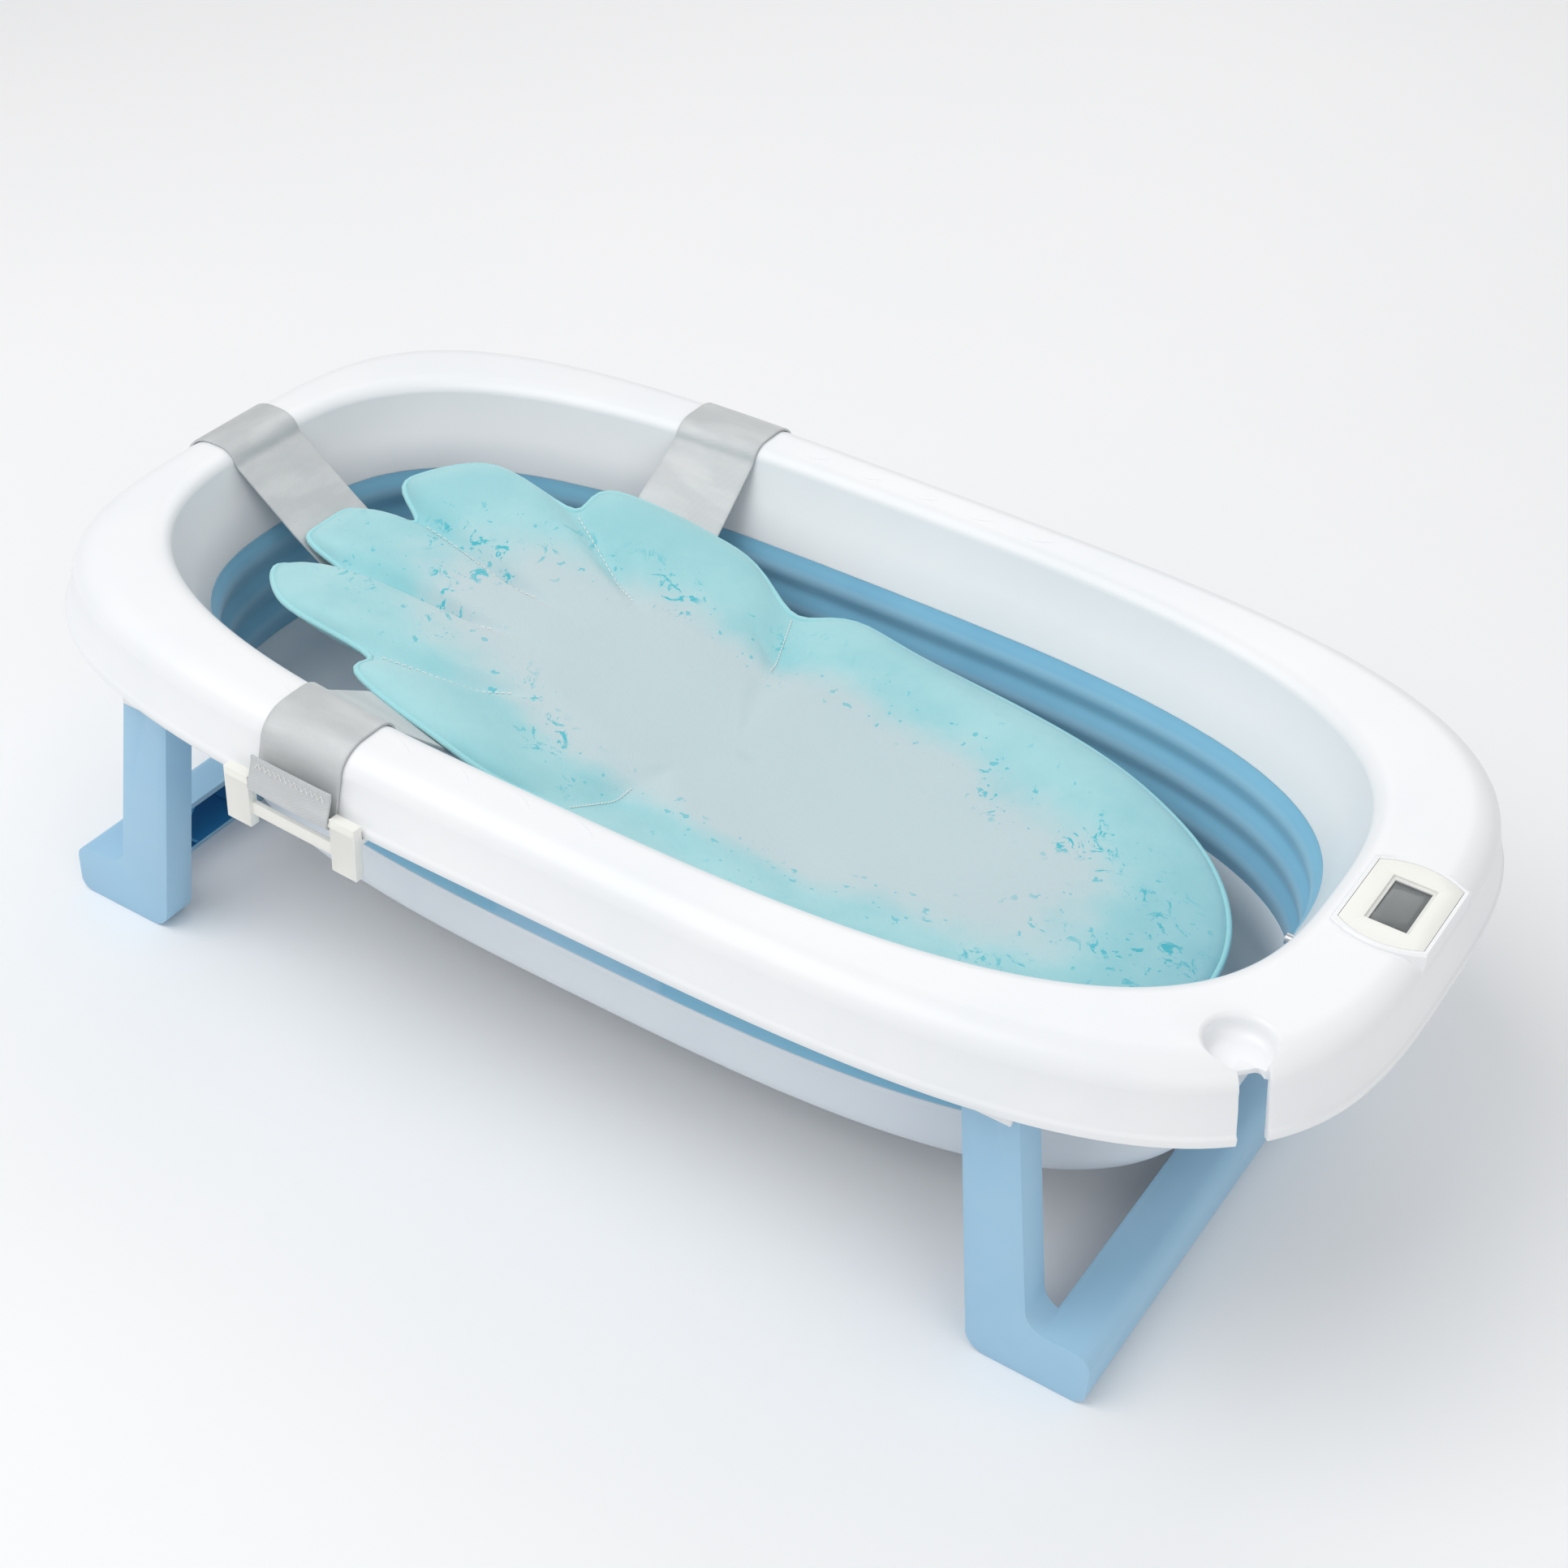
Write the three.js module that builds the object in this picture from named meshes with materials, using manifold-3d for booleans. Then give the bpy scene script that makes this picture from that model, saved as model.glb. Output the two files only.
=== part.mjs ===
// Collapsible baby bathtub: a rim with an elastomer folding wall and a tray base, two folding
// leg frames, a thermometer let into the rim, and a bath cushion slung on three straps.
// Millimetres. The floor is z = 0, +X points to the thermometer end, +Z up.

import * as THREE from 'three';
import { mergeVertices } from 'three/addons/utils/BufferGeometryUtils.js';
import Module from 'manifold-3d';

const wasm = await Module();
wasm.setup();

// ---- Driving dimensions --------------------------------------------------------------------

const gap = 0.3; // left between two pieces that touch

const rim = {
  length: 820,
  width: 446,
  topZ: 220, // top of the rim above the floor
  skirtDepth: 41, // top of the rim to the lower edge of the skirt
  footPower: 3.4, // squareness of the plan at each end
  headPower: 3.9,
  wall: 3,
  beadHeight: 5,
  beadDepth: 1.5,
  draft: 6, // how far the skirt leans in before the shoulder
  shoulderWidth: 18,
  shoulderDrop: 15,
};

const opening = {
  length: 710,
  width: 352,
  centreX: -13,
  power: 3,
  rollWidth: 12, // rounding between the flat top and the inner wall
  rollDrop: 9,
  wallDepth: 43, // inner wall below the rounding
  draft: 17, // narrowing of the inner wall on its way down
};

const foldingWall = {
  height: 70,
  thickness: 2.6,
  folds: 3,
  foldDepth: 3,
  taper: 5,
};

const base = {
  height: 51,
  wall: 3,
  draft: 3,
  cornerRadius: 28,
};

const legs = {
  spread: 267, // hinge axis from the middle of the tub, along X
  hingeDrop: 39, // hinge axis below the top of the rim
  width: 388, // over the outer faces of the two side plates
  strutWidth: 31,
  plateDepth: 21,
  wall: 3,
  lean: 24, // how far the strut's foot stands out past the hinge
  toeReach: 77, // toe end from the hinge axis, along X
  toeHeight: 34,
  barDepth: 30,
  heelRadius: 13,
  toeTopRadius: 10,
  toeBaseRadius: 8,
  ankleRadius: 14,
  strutRibs: 3,
  barRibs: 5,
  ribThickness: 2,
};

const hinge = {
  pinRadius: 3,
  pinHeadRadius: 4.6,
  pinHeadHeight: 1.4,
  bossWall: 3,
  cheek: 3.2,
  bracketLength: 34,
  bracketDrop: 15, // lower edge of the bracket below the hinge axis
};

const notch = {
  station: -0.64, // where it sits round the plan of the rim
  inset: 25,
  radius: 17,
  depth: 11,
  slotWidth: 16,
  cupWall: 3,
};

const thermometer = {
  footInset: 33, // plate centre from the foot end of the rim
  plateLength: 45,
  plateWidth: 54,
  bulge: 7,
  plateThickness: 2.4,
  rise: 2, // plate above the top of the rim
  collarWall: 3,
  collarDepth: 17,
  ledge: 2.4,
  housingDepth: 10.5,
  housingWall: 2,
  displayLength: 20,
  displayWidth: 36,
  displayThickness: 2.4,
  lensMargin: 1.5,
  lensThickness: 1.2,
  boardLength: 34,
  boardWidth: 32,
  boardThickness: 1.6,
  supportRib: 3,
  cellRadius: 10,
  cellThickness: 3.2,
  contactLength: 16,
  contactWidth: 6,
  coverRadius: 11,
  coverHeadRadius: 14,
  coverHeadThickness: 2,
  sealThickness: 1.2,
  sealWidth: 4,
  screwInset: 6.5,
  screwRadius: 1.2,
  screwHeadRadius: 2.4,
  screwHeadHeight: 1.6,
  screwBite: 1.5,
};

const probe = {
  radius: 3.2,
  length: 14,
  tip: 3, // how far it stands into the tub
  y: -8,
  drop: 41, // below the top of the rim
  leadRadius: 1.6,
};

const drain = {
  x: 170, // from the middle of the tub
  holeRadius: 14,
  sealRadius: 18,
  sealLip: 1.6,
  plugRadius: 11,
  plugHeadRadius: 16,
  plugHeadHeight: 2.4,
  knobRadius: 5,
  knobHeight: 7,
};

const strap = {
  width: 56,
  thickness: 1.6,
  seat: 0.45, // strap to rim
  sideX: -147, // middle of the two side straps
  headY: 5, // middle of the head strap
  loopHeight: 14,
  stations: 5,
};

const clip = {
  blockWidth: 17,
  blockThickness: 6,
  blockAbove: 9, // above and below the skirt's lower edge
  blockBelow: 25,
  hookThickness: 3,
  hookRise: 6,
  hookClearance: 1.5,
  skirtClearance: 0.7,
  barRadius: 2.2,
  barGap: 0.6,
  barHeight: 4.5,
  tieTop: -9,
  tieHeight: 8,
  tieThickness: 3,
  sideGap: 1, // strap edge to clip block
};

const cushion = {
  length: 610,
  width: 276,
  centreX: -16,
  power: 2.7,
  thickness: 32,
  headRise: 66, // head end above the foot end
  sideRise: 34, // long edges above the middle
  footDrop: 108, // foot end below the top of the rim
};

// ---- Positions that follow from them -------------------------------------------------------

const turn = Math.PI * 2;
const ringSteps = 56;
const skirtZ = rim.topZ - rim.skirtDepth;
const rollZ = rim.topZ - opening.rollDrop;
const innerWallZ = rollZ - opening.wallDepth;
const baseTopZ = innerWallZ - foldingWall.height - 2 * gap;
const baseBottomZ = baseTopZ - base.height;
const baseFloorZ = baseBottomZ + base.wall;
const hingeZ = rim.topZ - legs.hingeDrop;
const plateOuterY = legs.width / 2;
const plateInnerY = plateOuterY - legs.plateDepth;
const pinBore = hinge.pinRadius + gap;
const barY = strap.seat + strap.thickness + clip.barGap + clip.barRadius;
const clipReach = barY + clip.barRadius + clip.barGap + strap.thickness;
const clipHalfWidth = strap.width / 2 + clip.sideGap + clip.blockWidth;

// ---- Colours -------------------------------------------------------------------------------

const paint = (color, roughness, metalness = 0) =>
  new THREE.MeshStandardMaterial({ color, roughness, metalness });

const white = paint(0xf3f5f7, 0.35);
const trayWhite = paint(0xe8edf2, 0.35);
const wallBlue = paint(0x3f93bd, 0.55);
const legBlue = paint(0x9dcbe4, 0.5);
const ivory = paint(0xf1f1e8, 0.4);
const strapGrey = paint(0xc4c8c9, 0.6);
const cushionTeal = paint(0x9adbe0, 0.85);
const displayGrey = paint(0x50585a, 0.2);
const boardGreen = paint(0x1f6b43, 0.6);
const steel = paint(0xb9bcc0, 0.3, 1);
const sealGrey = paint(0x8b9298, 0.7);

// ---- Geometry helpers ----------------------------------------------------------------------

const group = new THREE.Group();

function add(name, geometry, material) {
  const mesh = new THREE.Mesh(geometry, material);
  mesh.name = name;
  group.add(mesh);
  return mesh;
}

function volume(positions, triangles) {
  const corner = (i) => new THREE.Vector3().fromArray(positions, triangles[i] * 3);
  let sum = 0;
  for (let i = 0; i < triangles.length; i += 3) {
    sum += corner(i).dot(corner(i + 1).cross(corner(i + 2)));
  }
  return sum;
}

function solidFrom(points, triangles) {
  const positions = points.flatMap((p) => [p.x, p.y, p.z]);
  if (volume(positions, triangles) < 0) triangles.reverse();
  const geometry = new THREE.BufferGeometry();
  geometry.setAttribute('position', new THREE.Float32BufferAttribute(positions, 3));
  geometry.setIndex(triangles);
  geometry.computeVertexNormals();
  return geometry;
}

function toManifold(geometry) {
  const bare = geometry.clone();
  bare.deleteAttribute('normal');
  bare.deleteAttribute('uv');
  const merged = mergeVertices(bare, 1e-4);
  return new wasm.Manifold(
    new wasm.Mesh({
      numProp: 3,
      vertProperties: new Float32Array(merged.attributes.position.array),
      triVerts: new Uint32Array(merged.index.array),
    }),
  );
}

function toGeometry(solid) {
  const mesh = solid.getMesh();
  const geometry = new THREE.BufferGeometry();
  geometry.setAttribute('position', new THREE.BufferAttribute(mesh.vertProperties, 3));
  geometry.setIndex(new THREE.BufferAttribute(mesh.triVerts, 1));
  geometry.computeVertexNormals();
  return geometry;
}

const join = (...parts) => toGeometry(parts.map(toManifold).reduce((a, b) => a.add(b)));

function cut(body, ...tools) {
  return toGeometry(tools.map(toManifold).reduce((a, b) => a.subtract(b), toManifold(body)));
}

const overlapOf = (a, b) => toGeometry(toManifold(a).intersect(toManifold(b)));

function box(xs, ys, zs) {
  const geometry = new THREE.BoxGeometry(xs[1] - xs[0], ys[1] - ys[0], zs[1] - zs[0]);
  return geometry.translate((xs[0] + xs[1]) / 2, (ys[0] + ys[1]) / 2, (zs[0] + zs[1]) / 2);
}

function disc(radius, zs, x = 0, y = 0, sides = 24) {
  const geometry = new THREE.CylinderGeometry(radius, radius, zs[1] - zs[0], sides);
  return geometry.rotateX(Math.PI / 2).translate(x, y, (zs[0] + zs[1]) / 2);
}

// A rod along Y.
function rod(radius, ys, x, z, sides = 16) {
  const geometry = new THREE.CylinderGeometry(radius, radius, ys[1] - ys[0], sides);
  return geometry.translate(x, (ys[0] + ys[1]) / 2, z);
}

// A polygon drawn anticlockwise or clockwise whose corners, given as [x, y, radius], are arcs.
function roundedShape(corners) {
  const shape = new THREE.Shape();
  const at = (i) => new THREE.Vector2(...corners[(i + corners.length) % corners.length]);
  corners.forEach(([x, y, radius], i) => {
    const corner = new THREE.Vector2(x, y);
    const back = at(i - 1).sub(corner).normalize();
    const ahead = at(i + 1).sub(corner).normalize();
    const half = Math.acos(back.dot(ahead)) / 2;
    const centre = back.clone().add(ahead).setLength(radius / Math.sin(half)).add(corner);
    const start = back.clone().multiplyScalar(radius / Math.tan(half)).add(corner);
    const end = ahead.clone().multiplyScalar(radius / Math.tan(half)).add(corner);
    const angleOf = (p) => Math.atan2(p.y - centre.y, p.x - centre.x);
    shape.absarc(centre.x, centre.y, radius, angleOf(start), angleOf(end), back.cross(ahead) > 0);
  });
  shape.closePath();
  return shape;
}

// Extrudes a shape drawn in x and z along Y.
function extrudeAlongY(shape, ys, curveSegments = 4) {
  const options = { depth: ys[1] - ys[0], bevelEnabled: false, curveSegments };
  return new THREE.ExtrudeGeometry(shape, options).rotateX(Math.PI / 2).translate(0, ys[1], 0);
}

function extrudeAlongZ(shape, zs, curveSegments = 5) {
  const options = { depth: zs[1] - zs[0], bevelEnabled: false, curveSegments };
  return new THREE.ExtrudeGeometry(shape, options).translate(0, 0, zs[0]);
}

// ---- Plan outlines -------------------------------------------------------------------------

function squircle(angle, halfLength, halfWidth, power) {
  const c = Math.cos(angle);
  const s = Math.sin(angle);
  const reach = (Math.abs(c) ** power + Math.abs(s) ** power) ** (-1 / power);
  return new THREE.Vector2(halfLength * c * reach, halfWidth * s * reach);
}

function rimEdge(angle, inset) {
  const share = (1 + Math.cos(angle)) / 2;
  const power = rim.headPower + (rim.footPower - rim.headPower) * share;
  return squircle(angle, rim.length / 2 - inset, rim.width / 2 - inset, power);
}

function openingEdge(angle, inset) {
  const edge = squircle(angle, opening.length / 2 - inset, opening.width / 2 - inset, opening.power);
  edge.x += opening.centreX;
  return edge;
}

function cushionEdge(angle, inset) {
  const edge = squircle(angle, cushion.length / 2 - inset, cushion.width / 2 - inset, cushion.power);
  edge.x += cushion.centreX;
  return edge;
}

const onRim = (inset, z) => ({ edge: rimEdge, inset, z });
const onOpening = (inset, z) => ({ edge: openingEdge, inset, z });

function place(angle, point) {
  const plan = point.edge(angle, point.inset);
  return new THREE.Vector3(plan.x, plan.y, point.z);
}

// The plan angle at which an outline crosses the line x = value or y = value.
function crossingAngle(point, axis, value, low, high) {
  const above = (angle) => place(angle, point)[axis] > value;
  const startsAbove = above(low);
  for (let i = 0; i < 40; i += 1) {
    const middle = (low + high) / 2;
    if (above(middle) === startsAbove) low = middle;
    else high = middle;
  }
  return low;
}

// The direction that the rim's skirt faces at a plan angle.
function rimHeading(angle) {
  const step = 0.01;
  const along = rimEdge(angle + step, 0).sub(rimEdge(angle - step, 0));
  return Math.atan2(-along.x, along.y);
}

// A quarter turn from one section point to another on the same outline.
function quarter(from, to, steps, risingFirst) {
  return Array.from({ length: steps + 1 }, (_, i) => {
    const angle = ((i / steps) * Math.PI) / 2;
    const early = Math.sin(angle);
    const late = 1 - Math.cos(angle);
    const inset = from.inset + (to.inset - from.inset) * (risingFirst ? late : early);
    return { edge: from.edge, inset, z: from.z + (to.z - from.z) * (risingFirst ? early : late) };
  });
}

// ---- Lofts ---------------------------------------------------------------------------------

// Joins equal rows of points; closed rows wrap round, and the rows may close on the first one.
function skinRows(rows, rowsClose) {
  const size = rows[0].length;
  const triangles = [];
  const last = rowsClose ? rows.length : rows.length - 1;
  for (let r = 0; r < last; r += 1) {
    const next = ((r + 1) % rows.length) * size;
    for (let i = 0; i < size; i += 1) {
      const j = (i + 1) % size;
      triangles.push(r * size + i, next + i, next + j, r * size + i, next + j, r * size + j);
    }
  }
  return triangles;
}

// A closed section carried right round the plan.
function ring(section) {
  const rows = Array.from({ length: ringSteps }, (_, i) =>
    section.map((point) => place((i / ringSteps) * turn, point)),
  );
  return solidFrom(rows.flat(), skinRows(rows, true));
}

// Stacked outlines closed by a flat face at each end.
function stack(sections) {
  const angles = Array.from({ length: ringSteps }, (_, i) => (i / ringSteps) * turn);
  const rows = sections.map((point) => angles.map((angle) => place(angle, point)));
  const triangles = skinRows(rows, false);
  const points = rows.flat();
  const closeEnd = (row, forward) => {
    const middle = place(0, row).add(place(Math.PI, row)).multiplyScalar(0.5);
    const start = rows[forward ? rows.length - 1 : 0];
    const offset = points.indexOf(start[0]);
    points.push(middle);
    for (let i = 0; i < ringSteps; i += 1) {
      const j = (i + 1) % ringSteps;
      const pair = forward ? [offset + i, offset + j] : [offset + j, offset + i];
      triangles.push(points.length - 1, pair[1], pair[0]);
    }
  };
  closeEnd(sections[0], false);
  closeEnd(sections.at(-1), true);
  return solidFrom(points, triangles);
}

// Rows of a flat section, closed by the section itself at both ends.
function sweep(rows) {
  const triangles = skinRows(rows, false);
  const across = new THREE.Vector3().subVectors(rows.at(-1)[0], rows[0][0]);
  const sideways = new THREE.Vector3(-across.y, across.x, 0).normalize();
  const flat = rows[0].map((p) => new THREE.Vector2(p.dot(sideways), p.z));
  const sense = Math.sign(THREE.ShapeUtils.area(flat));
  const lastRow = (rows.length - 1) * flat.length;
  for (const face of THREE.ShapeUtils.triangulateShape(flat, [])) {
    const area = THREE.ShapeUtils.area(face.map((i) => flat[i]));
    const [a, b, c] = Math.sign(area) === sense ? face : face.toReversed();
    triangles.push(a, b, c, lastRow + c, lastRow + b, lastRow + a);
  }
  return solidFrom(rows.flat(), triangles);
}

// ---- Rim -----------------------------------------------------------------------------------

const rimSkin = [
  onRim(0, skirtZ),
  onRim(0, skirtZ + rim.beadHeight),
  onRim(rim.beadDepth, skirtZ + rim.beadHeight + rim.beadDepth),
  ...quarter(
    onRim(rim.draft, rim.topZ - rim.shoulderDrop),
    onRim(rim.draft + rim.shoulderWidth, rim.topZ),
    4,
    true,
  ),
  ...quarter(onOpening(-opening.rollWidth, rim.topZ), onOpening(0, rollZ), 4, false),
  onOpening(opening.draft, innerWallZ),
];

// The rim's underside at a depth below its skin, from the inner wall out to the skirt.
const rimUnderside = (depth) => [
  onOpening(opening.draft - depth, innerWallZ),
  ...quarter(
    onOpening(-opening.rollWidth, rim.topZ - depth),
    onOpening(-depth, rollZ - depth / 2),
    3,
    false,
  ).reverse(),
  ...quarter(
    onRim(rim.draft + depth, rim.topZ - rim.shoulderDrop),
    onRim(rim.draft + rim.shoulderWidth, rim.topZ - depth),
    3,
    true,
  ).reverse(),
  onRim(rim.beadDepth + depth, skirtZ + rim.beadHeight + rim.beadDepth),
  onRim(depth, skirtZ),
];

// Everything that the rim's underside closes off, with the gap that its neighbours keep.
function rimKeepOut() {
  const under = rimUnderside(rim.wall + gap);
  return ring([
    ...under,
    onRim(-rim.wall, skirtZ),
    onRim(-rim.wall, rim.topZ + rim.wall),
    onOpening(opening.draft, rim.topZ + rim.wall),
    onOpening(opening.draft, innerWallZ),
  ]);
}

// The thermometer's plate: straight sides and bulged ends, grown by a margin.
function plateShape(margin) {
  const halfLength = thermometer.plateLength / 2 + margin;
  const halfWidth = thermometer.plateWidth / 2 + margin;
  const tip = halfWidth + thermometer.bulge * 2;
  const shape = new THREE.Shape();
  shape.moveTo(-halfLength, -halfWidth);
  shape.quadraticCurveTo(0, -tip, halfLength, -halfWidth);
  shape.lineTo(halfLength, halfWidth);
  shape.quadraticCurveTo(0, tip, -halfLength, halfWidth);
  shape.closePath();
  return shape;
}

const thermometerX = rim.length / 2 - thermometer.footInset;
const plateSlab = (margin, zs) => extrudeAlongZ(plateShape(margin), zs, 10).translate(thermometerX, 0, 0);
const plateTopZ = rim.topZ + thermometer.rise;
const plateZ = plateTopZ - thermometer.plateThickness;
const ledgeZ = plateZ - thermometer.sealThickness - 2 * gap;

function collar() {
  return plateSlab(thermometer.collarWall, [rim.topZ - thermometer.collarDepth, plateTopZ]);
}

function collarBores() {
  const seat = plateSlab(gap, [ledgeZ, plateTopZ + 1]);
  const through = plateSlab(-thermometer.ledge, [rim.topZ - thermometer.collarDepth - 1, ledgeZ + 1]);
  return [seat, through];
}

const notchCentre = rimEdge(notch.station, notch.inset);
const dishBottomZ = rim.topZ - notch.depth;

function notchCup() {
  const { x, y } = notchCentre;
  const cup = disc(notch.radius + notch.cupWall, [dishBottomZ - notch.cupWall, rim.topZ], x, y, 32);
  return overlapOf(cup, ring(rimSkin));
}

function notchCuts() {
  const { x, y } = notchCentre;
  const dish = disc(notch.radius, [dishBottomZ, rim.topZ + 1], x, y, 32);
  const slot = box(
    [notch.radius / 2, notch.inset + notch.radius],
    [-notch.slotWidth / 2, notch.slotWidth / 2],
    [skirtZ - 1, rim.topZ + 1],
  );
  return [dish, slot.rotateZ(rimHeading(notch.station)).translate(x, y, 0)];
}

const probeZ = rim.topZ - probe.drop;
const probeWallX = openingEdge(0, (opening.draft * (rollZ - probeZ)) / opening.wallDepth).x;
const alongX = (radius, xs, y, z, sides = 16) =>
  new THREE.CylinderGeometry(radius, radius, xs[1] - xs[0], sides)
    .rotateZ(Math.PI / 2)
    .translate((xs[0] + xs[1]) / 2, y, z);

function rimShell() {
  const shell = join(ring([...rimSkin, ...rimUnderside(rim.wall)]), collar(), notchCup());
  const probeHole = alongX(probe.radius + gap, [probeWallX - 9, probeWallX + 9], probe.y, probeZ);
  return cut(shell, ...collarBores(), ...notchCuts(), probeHole);
}

add('rim_shell', rimShell(), white);

// ---- Folding wall and base -----------------------------------------------------------------

function foldingWallRing() {
  const rows = foldingWall.folds * 2;
  const topZ = innerWallZ - gap;
  const face = (depth) =>
    Array.from({ length: rows + 1 }, (_, i) => {
      const share = i / rows;
      const wave = (foldingWall.foldDepth * (1 - Math.cos(i * Math.PI))) / 2;
      const inset = opening.draft + foldingWall.taper * share - depth + wave;
      return onOpening(inset, topZ - share * foldingWall.height);
    });
  return ring([...face(0), ...face(foldingWall.thickness).reverse()]);
}

const trayInset = opening.draft + foldingWall.taper - foldingWall.thickness;
const drainX = opening.centreX + drain.x;

// One face of the tray, set in from the outside, from its top edge to the flat of its bottom.
function trayFace(depth) {
  const radius = base.cornerRadius - depth;
  const side = trayInset + base.draft + depth;
  const bend = quarter(
    onOpening(side, baseBottomZ + base.cornerRadius),
    onOpening(side + radius, baseBottomZ + depth),
    4,
    true,
  );
  return [onOpening(trayInset + depth, baseTopZ), ...bend];
}

function baseTray() {
  const tray = stack([...trayFace(0).reverse(), ...trayFace(base.wall)]);
  return cut(tray, disc(drain.holeRadius, [baseBottomZ - 1, baseFloorZ + 1], drainX));
}

add('folding_wall', foldingWallRing(), wallBlue);
add('base_tray', baseTray(), trayWhite);

// ---- Drain ---------------------------------------------------------------------------------

const sealTopZ = baseFloorZ + gap + drain.sealLip;

function drainSeal() {
  const flange = disc(drain.sealRadius, [baseFloorZ + gap, sealTopZ], drainX);
  const neck = disc(drain.holeRadius - gap, [baseBottomZ, sealTopZ], drainX);
  const bore = disc(drain.plugRadius + gap, [baseBottomZ - 1, sealTopZ + 1], drainX);
  return cut(join(flange, neck), bore);
}

function drainPlug() {
  const headZ = sealTopZ + gap;
  const headTopZ = headZ + drain.plugHeadHeight;
  const stem = disc(drain.plugRadius, [baseBottomZ, headTopZ], drainX);
  const head = disc(drain.plugHeadRadius, [headZ, headTopZ], drainX);
  const knob = disc(drain.knobRadius, [headZ, headTopZ + drain.knobHeight], drainX);
  return join(stem, head, knob);
}

add('drain_seal', drainSeal(), sealGrey);
add('drain_plug', drainPlug(), white);

// ---- Leg frames ----------------------------------------------------------------------------

// The side plate's outline, with x measured outward from the hinge axis, shrunk by a margin.
function legShape(margin) {
  const half = legs.strutWidth / 2 - margin;
  const toe = legs.toeReach - margin;
  const toeTop = legs.toeHeight - margin;
  return roundedShape([
    [-half, hingeZ + half, half * 0.98],
    [half, hingeZ + half, half * 0.98],
    [legs.lean + half, toeTop, legs.ankleRadius + margin],
    [toe, toeTop, legs.toeTopRadius - margin],
    [toe, margin, legs.toeBaseRadius - margin],
    [legs.lean - half, margin, legs.heelRadius - margin],
  ]);
}

// A pair of copies, on the near and the far side plate.
const bothSides = (ys, build) => [build([-ys[1], -ys[0]]), build(ys)];

function legPlates() {
  return bothSides([plateInnerY, plateOuterY], (ys) => extrudeAlongY(legShape(0), ys));
}

function crossbar() {
  const ys = [-plateInnerY - 1, plateInnerY + 1];
  const keep = box([legs.toeReach - legs.barDepth, legs.toeReach + 1], ys, [-1, legs.toeHeight + 1]);
  return overlapOf(extrudeAlongY(legShape(0), ys), keep);
}

function legHollows() {
  const depthY = plateOuterY - legs.wall;
  const plates = bothSides([plateInnerY - 1, depthY], (ys) => extrudeAlongY(legShape(legs.wall), ys));
  const bar = box(
    [legs.toeReach - legs.barDepth - 1, legs.toeReach - legs.wall],
    [-depthY, depthY],
    [legs.wall, legs.toeHeight - legs.wall],
  );
  return [...plates, bar];
}

function legRibs() {
  const skin = legs.wall / 2;
  const half = legs.ribThickness / 2;
  const ribs = [];
  for (let i = 0; i < legs.strutRibs; i += 1) {
    const span = hingeZ - legs.strutWidth - legs.toeHeight;
    const z = legs.toeHeight + ((i + 0.5) / legs.strutRibs) * span;
    const middle = legs.lean * (1 - z / hingeZ);
    const reach = legs.strutWidth / 2 - skin;
    ribs.push(
      ...bothSides([plateInnerY, plateOuterY - skin], (ys) =>
        box([middle - reach, middle + reach], ys, [z - half, z + half])),
    );
  }
  for (let i = 0; i < legs.barRibs; i += 1) {
    const y = ((i + 0.5) / legs.barRibs - 0.5) * 2 * plateInnerY;
    const ys = [y - half, y + half];
    const across = box([legs.toeReach - legs.barDepth, legs.toeReach], ys, [0, legs.toeHeight]);
    ribs.push(overlapOf(across, extrudeAlongY(legShape(skin), ys)));
  }
  return ribs;
}

function legFrame(side) {
  const bosses = bothSides([plateInnerY, plateOuterY - legs.wall / 2], (ys) =>
    rod(pinBore + hinge.bossWall, ys, 0, hingeZ));
  const bore = rod(pinBore, [-plateOuterY - 1, plateOuterY + 1], 0, hingeZ);
  const hollow = cut(join(...legPlates(), crossbar()), ...legHollows());
  const frame = cut(join(hollow, ...legRibs(), ...bosses), bore);
  if (side < 0) frame.rotateZ(Math.PI);
  return frame.translate(opening.centreX + side * legs.spread, 0, 0);
}

// ---- Hinges --------------------------------------------------------------------------------

const slotInnerY = plateInnerY - gap;
const slotOuterY = plateOuterY + gap;
const hingeX = (side) => opening.centreX + side * legs.spread;

// Built for the far side of a hinge at x = 0, then turned to its own side.
function atHinge(geometry, side, hand) {
  if (hand < 0) geometry.rotateZ(Math.PI);
  return geometry.translate(hingeX(side), 0, 0);
}

function hingeBracket(side, hand) {
  const half = hinge.bracketLength / 2;
  const ys = [slotInnerY - hinge.cheek, slotOuterY + hinge.cheek];
  const block = box([-half, half], ys, [hingeZ - hinge.bracketDrop, rim.topZ]);
  const slotTop = hingeZ + legs.strutWidth / 2 + 2 * gap;
  const slot = box([-half - 1, half + 1], [slotInnerY, slotOuterY], [0, slotTop]);
  const bore = rod(pinBore, [ys[0] - 1, ys[1] + 1], 0, hingeZ);
  return cut(atHinge(cut(block, slot, bore), side, hand), rimKeepOut());
}

function hingePin(side, hand) {
  const headY = slotInnerY - hinge.cheek - gap;
  const shank = rod(hinge.pinRadius, [headY - hinge.pinHeadHeight, slotOuterY + hinge.cheek], 0, hingeZ);
  const head = rod(hinge.pinHeadRadius, [headY - hinge.pinHeadHeight, headY], 0, hingeZ);
  return atHinge(join(shank, head), side, hand);
}

for (const [end, side] of [['foot', 1], ['head', -1]]) {
  add(`${end}_leg_frame`, legFrame(side), legBlue);
  for (const [flank, hand] of [['near', -1], ['far', 1]]) {
    add(`${end}_${flank}_hinge_bracket`, hingeBracket(side, hand), white);
    add(`${end}_${flank}_hinge_pin`, hingePin(side, hand), steel);
  }
}

// ---- Thermometer ---------------------------------------------------------------------------

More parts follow.
